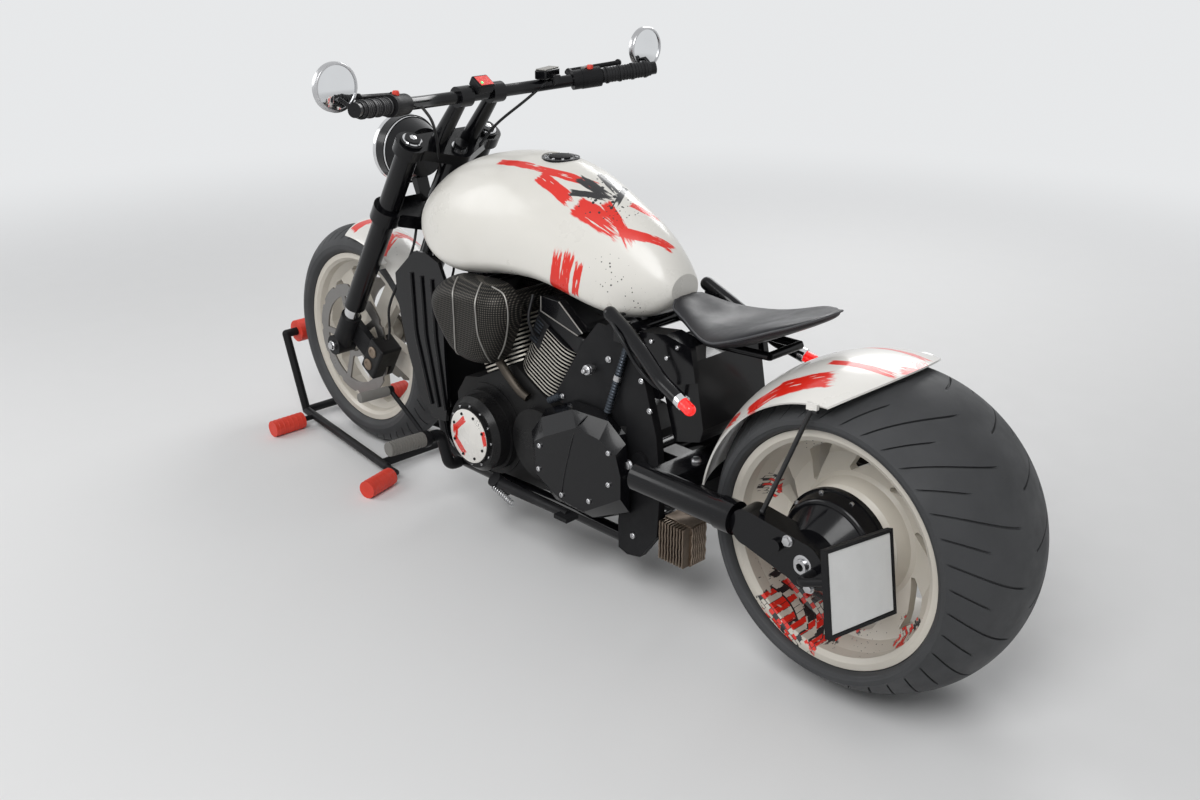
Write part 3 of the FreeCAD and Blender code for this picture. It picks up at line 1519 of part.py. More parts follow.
PIECES = (
    rear_tyre, rear_wheel, rear_brake_disc, rear_axle, final_drive, swingarm, rear_caliper,
    rear_fender, number_plate, main_frame, pivot_plates, rear_loops, tail_lamps, side_covers,
    radiator, radiator_cowl, crankcase, front_cylinder, rear_cylinder, alternator_cover,
    clutch_cover, drive_cover, air_cleaners, exhaust, fuel_tank, fuel_cap, seat, rectifier,
    foot_controls, side_stand, front_tyre, front_wheel, front_brake_discs, front_axle, fork_tubes,
    fork_sliders, fork_feet, front_calipers, fork_yokes, handlebar, risers, grips, hand_controls,
    mirrors, headlight, gauge, front_fender, chock_frame, chock_rollers,
)


def build():
    pieces = [make() for make in PIECES]
    doc.recompute()
    return pieces


def check(pieces):
    """Stop unless every object is computed and every piece is a sound solid."""
    for thing in doc.Objects:
        for state in ("Invalid", "Error"):
            if state in thing.State:
                raise RuntimeError("{} is {}".format(thing.Label, state))
    for piece in pieces:
        shape = piece.Shape
        if shape.isNull() or not shape.isValid() or not shape.Solids:
            raise RuntimeError(piece.Label + " has no sound solid")


def export(pieces):
    os.makedirs("parts", exist_ok=True)
    for piece in pieces:
        piece.Shape.exportStep("parts/{}.step".format(piece.Label))


pieces = build()
check(pieces)
export(pieces)
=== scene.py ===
import json
import math

import bmesh
import bpy
from mathutils import Matrix, Vector
from mathutils.bvhtree import BVHTree

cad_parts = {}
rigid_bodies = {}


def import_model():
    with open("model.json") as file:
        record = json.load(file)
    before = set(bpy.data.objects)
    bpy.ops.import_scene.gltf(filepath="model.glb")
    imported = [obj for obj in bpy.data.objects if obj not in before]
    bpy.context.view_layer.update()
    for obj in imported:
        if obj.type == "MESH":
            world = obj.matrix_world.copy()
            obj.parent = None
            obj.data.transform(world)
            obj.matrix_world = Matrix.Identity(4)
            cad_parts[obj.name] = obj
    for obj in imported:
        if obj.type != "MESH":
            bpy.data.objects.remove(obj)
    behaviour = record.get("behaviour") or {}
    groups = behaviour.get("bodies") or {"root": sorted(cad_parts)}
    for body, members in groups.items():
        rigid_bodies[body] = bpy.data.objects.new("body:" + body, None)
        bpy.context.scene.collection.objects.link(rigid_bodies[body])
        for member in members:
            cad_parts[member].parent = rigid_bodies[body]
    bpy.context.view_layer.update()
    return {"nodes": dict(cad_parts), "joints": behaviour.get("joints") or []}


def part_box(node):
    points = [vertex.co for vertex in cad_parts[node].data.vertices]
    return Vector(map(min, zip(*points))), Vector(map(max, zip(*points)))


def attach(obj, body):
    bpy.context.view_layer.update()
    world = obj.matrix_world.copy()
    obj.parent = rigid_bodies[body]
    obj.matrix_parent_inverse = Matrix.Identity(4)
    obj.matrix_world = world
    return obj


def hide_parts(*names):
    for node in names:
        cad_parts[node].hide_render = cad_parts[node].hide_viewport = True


for thing in list(bpy.data.objects):
    bpy.data.objects.remove(thing)
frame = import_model()
NODES = frame["nodes"]


# The frame's own directions and places

def middle(node):
    low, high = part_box(node)
    return (low + high) / 2


REAR = middle("rear_axle")
FRONT = middle("front_axle")
STEERING = next(joint for joint in frame["joints"] if joint["name"] == "steering")
LEFT = Vector((0, 1, 0))
UP = Vector((0, 0, 1))
AHEAD = Vector((1, 0, 0))
FORK_UP = Vector(STEERING["axis"])
FORK_AHEAD = LEFT.cross(FORK_UP)
RAKE = math.radians(31.5)
LEVEL_AHEAD = FORK_AHEAD * math.cos(RAKE) - FORK_UP * math.sin(RAKE)
LEAN = math.radians(27)
SIDES = (1, -1)


def at(x, y, z):
    """A place in millimetres: forward from the rear axle, to the left, above the ground."""
    return Vector((REAR.x + x / 1000, y / 1000, z / 1000))


def places(*spots):
    return [at(*spot) for spot in spots]


def on_fork(x, y, z):
    """A place in millimetres from the front axle: off the fork, to the left, up along it."""
    return FRONT + (FORK_AHEAD * x + LEFT * y + FORK_UP * z) / 1000


def mirrored(point):
    return Vector((point.x, -point.y, point.z))


def span(start, end):
    """The way from one place to another, and how far it is in millimetres."""
    return (end - start).normalized(), (end - start).length * 1000


def around(centre, side, other, radius, steps, phase=0.0):
    """Places on a circle that two directions span. The radius is in millimetres."""
    ring = []
    for step in range(steps):
        turn = 2 * math.pi * (step + phase) / steps
        ring.append(centre + (side * math.cos(turn) + other * math.sin(turn)) * radius / 1000)
    return ring


def smooth_path(points, steps):
    """Points of a smooth line through the given ones."""
    if len(points) < 3 or steps < 2:
        return list(points)
    ends = [points[0] * 2 - points[1]] + list(points) + [points[-1] * 2 - points[-2]]
    path = []
    for number in range(len(points) - 1):
        a, b, c, d = ends[number:number + 4]
        for step in range(steps):
            t = step / steps
            path.append((b * 2 + (c - a) * t + (a * 2 - b * 5 + c * 4 - d) * t * t
                         + (b * 3 - a - c * 3 + d) * t ** 3) / 2)
    return path + [points[-1]]


# Building meshes

class Shape:
    """A mesh gathered from turned, swept and flat pieces. Sizes are in millimetres."""

    def __init__(self):
        self.points = []
        self.faces = []

    def add(self, points, faces):
        start = len(self.points)
        self.points.extend(points)
        self.faces.extend([start + corner for corner in face] for face in faces)
        return self

    def rings(self, rings):
        """Join closed rings of points, one after another. A ring of one point closes an end."""
        points, faces, starts = [], [], []
        for ring in rings:
            starts.append(len(points))
            points.extend(ring)
        for number in range(len(rings) - 1):
            pair = list(zip(rings[number:number + 2], starts[number:number + 2]))
            count = max(len(ring) for ring, start in pair)
            for step in range(count):
                after = (step + 1) % count
                low, high = [[start] if len(ring) == 1 else [start + step, start + after]
                             for ring, start in pair]
                faces.append(low + high[::-1])
        return self.add(points, faces)

    def turned(self, profile, origin, axis, steps=32):
        """Turn a profile of (along, radius) about an axis."""
        way = axis.normalized()
        side = way.orthogonal().normalized()
        other = way.cross(side)
        rings = []
        for along, radius in profile:
            centre = origin + way * along / 1000
            rings.append(around(centre, side, other, radius, steps) if radius > 0 else [centre])
        return self.rings(rings)

    def swept(self, points, radius, sides=10, smooth=6):
        """A round bar along a smooth path."""
        path = smooth_path(points, smooth)
        rings = [[path[0]]]
        side = (path[1] - path[0]).orthogonal().normalized()
        for number, place in enumerate(path):
            before = path[max(number - 1, 0)]
            after = path[min(number + 1, len(path) - 1)]
            way = (after - before).normalized()
            side = (side - way * side.dot(way)).normalized()
            rings.append(around(place, side, way.cross(side), radius, sides))
        return self.rings(rings + [[path[-1]]])

    def bolt(self, origin, axis, radius, height):
        """A round head with a chamfer and a six-sided socket."""
        mouth, floor = radius * 0.56, height * 0.45
        self.turned([(0, radius), (height * 0.8, radius), (height, radius * 0.85), (height, mouth)],
                    origin, axis, 20)
        return self.turned([(height, mouth), (floor, radius * 0.5), (floor, 0)], origin, axis, 6)

    def hexagon(self, origin, axis, radius, height):
        """A hexagon head on a washer."""
        washer, rim = height * 0.25, radius * 1.25
        self.turned([(0, rim), (washer, rim), (washer, 0)], origin, axis, 24)
        return self.turned([(washer, radius), (height * 0.9, radius), (height, radius * 0.82), (height, 0)],
                           origin, axis, 6)

    def prism(self, outline, way):
        """A flat outline of points, drawn out along a way."""
        count = len(outline)
        points = list(outline) + [point + way for point in outline]
        faces = [list(range(count)), list(range(2 * count - 1, count - 1, -1))]
        for number in range(count):
            after = (number + 1) % count
            faces.append([number, after, count + after, count + number])
        return self.add(points, faces)

    def block(self, centre, half, ahead=AHEAD, across=LEFT):
        """A box from its middle and half sizes."""
        up = ahead.cross(across)
        a, b, c = (ahead * half[0] / 1000, across * half[1] / 1000, up * half[2] / 1000)
        outline = [centre - a - b - c, centre + a - b - c, centre + a + b - c, centre - a + b - c]
        return self.prism(outline, c * 2)

    def twin(self):
        """Add the mirror image across the machine's middle plane."""
        points = [mirrored(point) for point in self.points]
        return self.add(points, [list(reversed(face)) for face in self.faces])

    def made(self, name, finish):
        """The mesh as an object of the scene."""
        mesh = bpy.data.meshes.new(name)
        mesh.from_pydata(self.points, [], self.faces)
        mesh.materials.append(finish.material)
        piece = bpy.data.objects.new(name, mesh)
        bpy.context.scene.collection.objects.link(piece)
        return piece

    def done(self, name, finish, slot, body="frame", bevel=0.0, sharp=40, smooth=0):
        """A piece on a body, shaded smooth except at edges sharper than an angle."""
        piece = self.made(name, finish)
        mesh = piece.data
        work = bmesh.new()
        work.from_mesh(mesh)
        bmesh.ops.recalc_face_normals(work, faces=work.faces)
        work.to_mesh(mesh)
        work.free()
        mesh.polygons.foreach_set("use_smooth", [True] * len(mesh.polygons))
        mesh.set_sharp_from_angle(angle=math.radians(sharp))
        if bevel:
            rounding = piece.modifiers.new("rounding", "BEVEL")
            rounding.width = bevel / 1000
            rounding.segments = 2
            rounding.limit_method = "ANGLE"
        if smooth:
            skin = piece.modifiers.new("skin", "SUBSURF")
            skin.levels = smooth
            skin.render_levels = smooth
        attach(piece, body)
        return piece


# Finishes

def feed(tree, socket, value):
    """Link a socket to another, or set its value."""
    if isinstance(value, bpy.types.NodeSocket):
        tree.links.new(value, socket)
    elif isinstance(value, (tuple, Vector)) and len(socket.default_value) == 4:
        socket.default_value = (*value[:3], 1)
    else:
        socket.default_value = value


def new_node(tree, kind, inputs=(), **settings):
    made = tree.nodes.new(kind)
    for key, value in settings.items():
        setattr(made, key, value)
    for key, value in dict(inputs).items():
        feed(tree, made.inputs[key], value)
    return made


class Finish:
    """A node material, with short ways to add its nodes."""

    def __init__(self, name, color, rough=0.5, metal=0.0, coat=0.0, coat_rough=0.05, specular=0.5):
        self.material = bpy.data.materials.new(name)
        self.material.use_nodes = True
        self.tree = self.material.node_tree
        self.tree.nodes.clear()
        self.shader = self.node("ShaderNodeBsdfPrincipled")
        self.output = self.node("ShaderNodeOutputMaterial", {0: self.shader.outputs[0]})
        self.place = self.node("ShaderNodeTexCoord").outputs["Object"]
        self.normal = self.node("ShaderNodeNewGeometry").outputs["Normal"]
        self.set("Base Color", color)
        self.set("Roughness", rough)
        self.set("Metallic", metal)
        self.set("Coat Weight", coat)
        self.set("Coat Roughness", coat_rough)
        self.set("Specular IOR Level", specular)

    def set(self, name, value):
        feed(self.tree, self.shader.inputs[name], value)
        return self

    def node(self, kind, inputs=(), **settings):
        return new_node(self.tree, kind, inputs, **settings)

    def math(self, operation, first, second=0.0):
        return self.node("ShaderNodeMath", {0: first, 1: second}, operation=operation).outputs[0]

    def times(self, *values):
        product = values[0]
        for value in values[1:]:
            product = self.math("MULTIPLY", product, value)
        return product

    def plus(self, first, second):
        return self.math("ADD", first, second)

    def minus(self, first, second):
        return self.math("SUBTRACT", first, second)

    def size(self, value):
        return self.math("ABSOLUTE", value)

    def vector(self, operation, first, second=(0, 0, 0)):
        made = self.node("ShaderNodeVectorMath", {0: first, 1: second}, operation=operation)
        return made.outputs["Value" if operation in ("DOT_PRODUCT", "LENGTH", "DISTANCE") else "Vector"]

    def noise(self, scale, detail=3.0, rough=0.5, where=None):
        made = self.node("ShaderNodeTexNoise", {"Vector": where or self.place, "Scale": scale,
                                                "Detail": detail, "Roughness": rough})
        return made.outputs[0]

    def cells(self, scale, feature="F1"):
        made = self.node("ShaderNodeTexVoronoi", {"Vector": self.place, "Scale": scale}, feature=feature)
        return made.outputs["Distance"]

    def ramp(self, value, low, high, first=0.0, last=1.0):
        made = self.node("ShaderNodeMapRange", {0: value, 1: low, 2: high, 3: first, 4: last},
                         interpolation_type="SMOOTHSTEP")
        return made.outputs[0]

    def blend(self, share, first, second):
        return self.node("ShaderNodeMix", {0: share, 6: first, 7: second}, data_type="RGBA").outputs[2]

    def tint(self, share, first, second):
        """Give the base colour a blend of two colours."""
        return self.set("Base Color", self.blend(share, first, second))

    def bump(self, height, depth, strength=1.0):
        """Raise the surface by a height of 0 to 1 times a depth in millimetres."""
        made = self.node("ShaderNodeBump", {"Height": height, "Distance": depth / 1000,
                                            "Strength": strength})
        return self.set("Normal", made.outputs[0])

    def grain(self, scale, detail, depth, strength):
        return self.bump(self.noise(scale, detail), depth, strength)

    def along(self, way, origin=None):
        """How far a place lies along a way, in metres, from an origin."""
        where = self.vector("SUBTRACT", self.place, tuple(origin)) if origin is not None else self.place
        return self.vector("DOT_PRODUCT", where, tuple(way))

    def dusty(self, rough, share=0.12):
        """Vary the roughness a little, as handled and wiped paint does."""
        smooth, worn = rough * (1 - share), rough * (1 + share * 2)
        return self.set("Roughness", self.ramp(self.noise(9.0, 5.0, 0.6), 0.3, 0.7, smooth, worn))


BLACK = (0.006, 0.006, 0.007)
RED = (0.76, 0.020, 0.008)
INK = (0.012, 0.012, 0.014)


def clouded(name, first, second, rough, vary, cloud, grain, depth, strength, **more):
    """Two tones in soft clouds over a fine grain. cloud and grain are settings of noise."""
    finish = Finish(name, first, rough, **more)
    finish.dusty(rough, vary).tint(finish.noise(*cloud), first, second)
    return finish.bump(finish.noise(*grain), depth, strength)


def shaded(color, share):
    return tuple(part * share for part in color)


def bare_metal(name, color, rough, scratch=0.25):
    return clouded(name, color, shaded(color, 0.72), rough, 0.35, (24.0, 4.0), (900.0, 2.0, 0.6), 0.04,
                   scratch, metal=1.0)


def rubber(name, color, rough):
    return clouded(name, color, shaded(color, 1.5), rough, 0.15, (14.0, 5.0, 0.6), (1100.0, 2.0), 0.05,
                   0.4, specular=0.3)


def gloss_black():
    """Deep black with small dust specks."""
    finish = Finish("gloss_black", (0.004, 0.004, 0.005), coat=0.12, coat_rough=0.03, specular=0.24)
    specks = finish.ramp(finish.cells(900.0), 0.02, 0.06, 0.6, 0.0)
    finish.dusty(0.16, 0.3).tint(specks, (0.004, 0.004, 0.005), (0.03, 0.03, 0.034))
    return finish.grain(260.0, 2.0, 0.05, 0.12)


def brush(finish, start, end, width, facing, seed, dry=0.5):
    """A dry brush stroke laid from start to end on a surface that faces a given way."""
    way = end - start
    length = way.length
    way.normalize()
    side = facing.cross(way).normalized()
    along = finish.math("DIVIDE", finish.along(way, start), length)
    across = finish.along(side, start)
    flat = finish.node("ShaderNodeCombineXYZ", {0: along, 1: finish.times(across, 70.0), 2: seed})
    streak = finish.noise(2.2, 3.0, 0.6, flat.outputs[0])
    edge = finish.plus(finish.size(across), finish.times(finish.noise(26.0, 2.0), width * 0.35))
    inside = finish.ramp(edge, width * 0.62, width * 0.70, 1.0, 0.0)
    head = finish.ramp(finish.plus(along, finish.times(streak, 0.16)), 0.05, 0.10)
    tail = finish.ramp(finish.plus(along, finish.times(streak, dry)),
                       1.0 + dry * 0.10, 1.0 + dry * 0.22, 1.0, 0.0)
    bristle = finish.ramp(finish.minus(streak, finish.times(along, 0.16)), 0.26, 0.33)
    turned = finish.ramp(finish.vector("DOT_PRODUCT", finish.normal, tuple(facing)), 0.15, 0.3)
    return finish.times(inside, head, tail, bristle, turned)


def both_flanks(finish, start, end, width, facing, seed, dry=0.5):
    """A stroke on the left and its mirror image on the right."""
    left = brush(finish, start, end, width, facing, seed, dry)
    right = brush(finish, mirrored(start), mirrored(end), width, mirrored(facing), seed + 0.5, dry)
    return finish.math("MAXIMUM", left, right)


def splatter(finish, centre, reach, scale, size):
    """Drops of ink round a place, fewer towards its rim."""
    distance = finish.vector("DISTANCE", finish.place, tuple(centre))
    region = finish.ramp(distance, reach * 0.25, reach, 1.0, 0.0)
    wild = finish.noise(scale * 0.7, 3.0, 0.7)
    spot = finish.plus(finish.cells(scale), finish.times(wild, 0.35))
    return finish.ramp(finish.minus(finish.times(region, size + 0.16), spot), 0.0, 0.02)


def paint_over(finish, color, strokes, drops):
    """A base colour with red strokes and then ink laid over it."""
    for masks, paint in ((strokes, RED), (drops, INK)):
        for mask in masks:
            color = finish.blend(mask, color, paint)
    return color


def aged(finish, pale, shade):
    """Pale paint with soft yellowed clouds."""
    return finish.blend(finish.ramp(finish.noise(3.4, 5.0, 0.55), 0.35, 0.75, 0.0, 0.6), pale, shade)


def tank_paint():
    """Off-white with loose red strokes, ink and brown hairlines low at the rear."""
    finish = Finish("tank_paint", (0.76, 0.74, 0.68), coat=0.35, coat_rough=0.15)
    finish.dusty(0.32, 0.2)
    top = Vector((-0.2, 0.45, 0.85)).normalized()
    side = Vector((-0.2, 0.95, 0.1)).normalized()
    back = Vector((-0.65, 0.25, 0.7)).normalized()
    flanks = [
        (at(796, 137, 676), at(780, 130, 812), 0.026, side, 4.0, 1.0),
        (at(768, 136, 676), at(750, 124, 806), 0.028, side, 5.0, 0.8),
        (at(738, 130, 680), at(722, 118, 790), 0.020, side, 6.0, 1.0),
    ]
    reds = [
        (at(1050, 76, 925), at(860, 62, 922), 0.020, top, 1.0, 0.2),
        (at(900, 68, 922), at(752, 28, 902), 0.023, top, 2.0, 0.3),
        (at(900, 84, 914), at(766, 92, 868), 0.032, top, 3.0, 0.6),
        (at(776, 84, 868), at(620, 60, 800), 0.044, back, 7.0, 1.0),
        (at(730, 44, 866), at(590, 76, 788), 0.022, back, 8.0, 0.9),
        (at(660, 66, 828), at(544, -18, 778), 0.023, back, 9.0, 0.6),
        (at(686, 8, 872), at(616, -30, 836), 0.018, back, 10.0, 0.6),
    ]
    inks = [
        (at(816, 40, 908), at(676, 30, 872), 0.026, back, 11.0, 1.1),
        (at(800, -6, 912), at(672, 22, 870), 0.018, back, 12.0, 1.2),
        (at(806, 78, 892), at(684, 8, 878), 0.018, back, 13.0, 1.1),
        (at(748, -40, 896), at(690, 74, 850), 0.014, back, 14.0, 0.9),
    ]
    drops = [
        (at(740, 34, 890), 0.11, 70.0, 0.34), (at(690, 30, 868), 0.08, 120.0, 0.24),
        (at(650, 104, 740), 0.09, 105.0, 0.22), (at(590, 96, 690), 0.07, 120.0, 0.20),
        (at(650, -104, 740), 0.09, 105.0, 0.22), (at(950, 70, 925), 0.05, 150.0, 0.06),
    ]
    strokes = [both_flanks(finish, *stroke) for stroke in flanks]
    strokes += [brush(finish, *stroke) for stroke in reds]
    blots = [brush(finish, *stroke) for stroke in inks] + [splatter(finish, *drop) for drop in drops]
    vein = finish.size(finish.minus(finish.noise(15.0, 5.0, 0.6), 0.5))
    hairline = finish.ramp(vein, 0.0, 0.012, 1.0, 0.0)
    low = finish.ramp(finish.along(UP), 0.655, 0.70, 0.6, 0.0)
    rear = finish.ramp(finish.along(AHEAD, at(0, 0, 0)), 0.62, 0.86, 1.0, 0.0)
    base = aged(finish, (0.78, 0.76, 0.71), (0.70, 0.68, 0.62))
    base = finish.blend(finish.times(hairline, low, rear), base, (0.30, 0.25, 0.20))
    finish.set("Base Color", paint_over(finish, base, strokes, blots))
    return finish.grain(300.0, 2.0, 0.04, 0.1)


def fender_paint(name, strokes, drops, brace_radius=0.0):
    """Off-white with red strokes and ink. Black within a radius of the rear axle, where its braces run."""
    finish = Finish(name, (0.78, 0.76, 0.72), coat=0.6, coat_rough=0.12)
    finish.dusty(0.3, 0.2)
    base = aged(finish, (0.80, 0.78, 0.74), (0.70, 0.67, 0.62))
    marks = [both_flanks(finish, *stroke) for stroke in strokes]
    spots = [splatter(finish, *drop) for drop in drops]
    color = paint_over(finish, base, marks, spots)
    if brace_radius:
        flat = finish.vector("MULTIPLY", finish.vector("SUBTRACT", finish.place, tuple(REAR)), (1, 0, 1))
        brace = finish.ramp(finish.vector("LENGTH", flat), brace_radius - 0.0006, brace_radius, 1.0, 0.0)
        color = finish.blend(brace, color, BLACK)
        finish.set("Coat Weight", finish.ramp(brace, 0.0, 1.0, 0.6, 0.1))
    return finish.set("Base Color", color).grain(300.0, 2.0, 0.04, 0.1)


def wheel_paint(name, centre, blocks, inks):
    """Cream paint with scattered ink and patches of small slanted blocks, each patch with its
    place from the axle, reach, block size and share of red blocks."""
    finish = Finish(name, (0.62, 0.575, 0.50), coat=0.25, coat_rough=0.25)
    finish.dusty(0.4, 0.2)
    color = aged(finish, (0.64, 0.60, 0.53), (0.55, 0.51, 0.44))
    slant = math.radians(34)
    run = finish.along(Vector((math.cos(slant), 0, math.sin(slant))))
    rise = finish.along(Vector((-math.sin(slant), 0, math.cos(slant))))
    flat = finish.node("ShaderNodeCombineXYZ", {0: run, 1: rise}).outputs[0]
    for offset, reach, size, share in blocks:
        distance = finish.vector("DISTANCE", finish.place, tuple(centre + offset))
        ragged = finish.plus(distance, finish.times(finish.noise(34.0, 3.0), reach * 0.9))
        region = finish.ramp(ragged, reach * 1.18, reach * 1.24, 1.0, 0.0)
        tiles = finish.node("ShaderNodeTexBrick", {
            "Vector": flat, "Color1": (0, 0, 0), "Color2": (1, 1, 1), "Mortar": (0.5, 0.5, 0.5),
            "Scale": 1.0, "Mortar Size": size * 0.09, "Brick Width": size * 1.7, "Row Height": size},
            offset=0.37)
        pick = finish.node("ShaderNodeSeparateColor", {0: tiles.outputs["Color"]}).outputs[0]
        gaps = tiles.outputs["Fac"]
        solid = finish.times(region, finish.minus(1.0, gaps))
        red = finish.times(solid, finish.ramp(pick, 1 - share, 1.01 - share))
        ink = finish.times(solid, finish.ramp(pick, share * 0.45, share * 0.46, 1.0, 0.0))
        lines = finish.times(gaps, region, finish.ramp(finish.noise(60.0, 2.0), 0.42, 0.46))
        color = paint_over(finish, color, [red], [finish.math("MAXIMUM", ink, lines)])
    spots = [splatter(finish, centre + offset, reach, scale, size) for offset, reach, scale, size in inks]
    return finish.set("Base Color", paint_over(finish, color, [], spots)).grain(260.0, 2.0, 0.05, 0.15)


def fin_metal(lean):
    """Black fins whose machined rims are bright, on a cylinder that leans from the crank."""
    finish = Finish("fin_metal", BLACK, specular=0.3)
    axis = Vector((math.sin(lean), 0, math.cos(lean)))
    crank = at(960, 0, 290)
    facing = finish.size(finish.vector("DOT_PRODUCT", finish.normal, tuple(axis)))
    rim = finish.times(finish.ramp(facing, 0.35, 0.6, 1.0, 0.0),
                       finish.ramp(finish.along(axis, crank), 0.300, 0.303, 1.0, 0.0))
    past = []
    for way, flat_to in ((LEFT, 0.054), (LEFT.cross(axis), 0.026)):
        past.append(finish.math("MAXIMUM", finish.minus(finish.size(finish.along(way, crank)), flat_to)))
    out = finish.math("SQRT", finish.plus(*[finish.times(value, value) for value in past]))
    rim = finish.times(rim, finish.ramp(out, 0.0555, 0.0585))
    finish.tint(rim, BLACK, (0.62, 0.59, 0.53)).set("Metallic", finish.times(rim, 0.85))
    return finish.dusty(0.36, 0.3).grain(500.0, 3.0, 0.06, 0.4)


def woven_mesh():
    """Black woven wire over a dark shell, with a painted highlight where the wires cross."""
    finish = Finish("woven_mesh", (0.04, 0.038, 0.035), 0.45, specular=0.2)
    pitch = 0.0052
    wires = []
    for way in (UP, Vector((0.94, 0.34, 0)).normalized()):
        wave = finish.math("SINE", finish.times(finish.along(way), 2 * math.pi / pitch))
        wires.append(finish.ramp(wave, 0.15, 0.75))
    weave = finish.math("MAXIMUM", *wires)
    shine = finish.blend(weave, (0.004, 0.004, 0.004), (0.036, 0.034, 0.031))
    # Painted highlight: a lighter colour where the two wires cross.
    finish.tint(finish.times(*wires), shine, (0.145, 0.133, 0.115))
    return finish.set("Metallic", finish.times(weave, 0.7)).bump(weave, 0.9, 0.9)


def leather():
    finish = Finish("seat_leather", (0.012, 0.012, 0.014), coat=0.05, coat_rough=0.3, specular=0.26)
    finish.dusty(0.40, 0.2).tint(finish.noise(7.0, 4.0), (0.009, 0.009, 0.011), (0.018, 0.018, 0.021))
    grain = finish.times(finish.cells(650.0, "SMOOTH_F1"), 0.7)
    folds = finish.times(finish.noise(60.0, 5.0, 0.6), 0.3)
    return finish.bump(finish.plus(grain, folds), 0.16, 0.4)


def brushed(name, color, centre):
    """Steel ground in rings round an axle."""
    finish = Finish(name, color, metal=1.0)
    out = finish.vector("DISTANCE", finish.place, tuple(centre))
    rings = finish.node("ShaderNodeCombineXYZ", {0: finish.times(out, 900.0)}).outputs[0]
    lines = finish.noise(1.0, 2.0, 0.5, rings)
    return finish.dusty(0.32, 0.3).tint(lines, color, shaded(color, 0.7)).bump(lines, 0.03, 0.4)


def lit(name, color, glow, strength):
    finish = Finish(name, color, 0.18, coat=0.6)
    cut = finish.cells(220.0)
    finish.set("Emission Color", finish.blend(finish.ramp(cut, 0.1, 0.5), glow, color))
    return finish.set("Emission Strength", strength).bump(cut, 0.3, 0.5)


def mirror_glass():
    finish = Finish("mirror_glass", (0.80, 0.81, 0.82), metal=1.0)
    smear = finish.noise(18.0, 4.0)
    finish.set("Roughness", finish.ramp(smear, 0.4, 0.7, 0.02, 0.09))
    return finish.tint(smear, (0.82, 0.83, 0.84), (0.72, 0.73, 0.74))


def lens_glass():
    """Clear fluted glass, drawn opaque, with painted highlight and painted shade in bands along the flutes.
    """
    finish = Finish("lens_glass", (0.55, 0.57, 0.60), 0.06, coat=1.0)
    wave = finish.math("SINE", finish.times(finish.along(LEFT), 900.0))
    flute_relief_and_painted_bands = finish.ramp(wave, -1, 1)
    # Painted highlight and painted shade: the colour turns lighter and darker in bands with the flutes; the
    # same bands also bump the surface.
    return finish.tint(flute_relief_and_painted_bands, (0.42, 0.44, 0.47), (0.62, 0.64, 0.67)).bump(flute_relief_and_painted_bands, 0.5, 0.5)


def blank_plate():
    finish = Finish("plate_face", (0.78, 0.78, 0.76), coat=0.3)
    finish.dusty(0.35, 0.3).tint(finish.noise(26.0, 4.0), (0.80, 0.80, 0.79), (0.70, 0.70, 0.685))
    return finish.bump(finish.cells(1500.0), 0.05, 0.25)


GLOSS = gloss_black()
SATIN = clouded("satin_black", BLACK, (0.014, 0.014, 0.015), 0.42, 0.25, (16.0, 4.0), (700.0, 3.0), 0.08,
                0.35, specular=0.16)
CAST = clouded("cast_black", (0.005, 0.005, 0.006), (0.016, 0.0155, 0.015), 0.34, 0.4, (11.0, 5.0),
               (420.0, 4.0, 0.7), 0.16, 0.5, specular=0.2)
RED_RUBBER = (0.78, 0.055, 0.03)
REDS = clouded("red_rubber", RED_RUBBER, shaded(RED_RUBBER, 0.82), 0.5, 0.2, (30.0, 4.0), (800.0, 2.0),
               0.04, 0.3)
STEEL = bare_metal("bright_steel", (0.62, 0.62, 0.63), 0.24)
CHROME = bare_metal("chrome", (0.80, 0.80, 0.81), 0.08, 0.1)
DULL = bare_metal("dull_alloy", (0.36, 0.35, 0.33), 0.42)
BROWNED = bare_metal("browned_alloy", (0.30, 0.24, 0.19), 0.5)
SLATE = bare_metal("slate_metal", (0.07, 0.08, 0.095), 0.4)
PIPE = bare_metal("pipe_metal", (0.11, 0.095, 0.08), 0.38)
TYRE = rubber("tyre_rubber", (0.040, 0.041, 0.043), 0.55)
GRIP = rubber("grip_rubber", (0.010, 0.010, 0.011), 0.45)
PEG = rubber("peg_rubber", (0.14, 0.135, 0.125), 0.6)
HOSE = rubber("hose_rubber", (0.008, 0.008, 0.009), 0.4)
PIPING = rubber("piping", (0.045, 0.046, 0.05), 0.4)
PLATE = blank_plate()
LAMP = lit("lamp_glow", (0.75, 0.01, 0.01), (1.0, 0.05, 0.03), 1.0)
GREEN = lit("green_glow", (0.05, 0.6, 0.15), (0.1, 1.0, 0.3), 1.5)
DISPLAY = lit("gauge_red", (0.5, 0.02, 0.015), (1.0, 0.06, 0.03), 0.7)
FENDER = fender_paint("rear_fender_paint", [
    (at(150, 150, 632), at(16, 104, 678), 0.052, Vector((0.15, 0.6, 0.8)), 6.0, 0.7),
    (at(196, 180, 580), at(112, 120, 652), 0.040, Vector((0.35, 0.7, 0.6)), 7.0, 0.8),
    (at(96, 60, 678), at(-78, 56, 684), 0.020, Vector((0, 0.3, 0.95)), 8.0, 0.5),
    (at(262, 150, 520), at(206, 176, 562), 0.034, Vector((0.7, 0.5, 0.5)), 9.0, 0.9),
    (at(-96, -14, 672), at(-26, 46, 688), 0.032, Vector((-0.1, 0.1, 0.95)), 10.0, 0.7),
], [(at(300, 150, 470), 0.07, 150.0, 0.10), (at(150, 120, 640), 0.05, 150.0, 0.10)], brace_radius=0.2966)
MUDGUARD = fender_paint("front_fender_paint", [
    (at(1560, 70, 600), at(1600, -20, 640), 0.030, Vector((-0.4, 0.4, 0.8)), 9.0, 0.7),
    (at(1700, 60, 634), at(1680, -50, 650), 0.030, UP, 10.0, 0.7),
], [(at(1560, 40, 600), 0.08, 130.0, 0.14)])
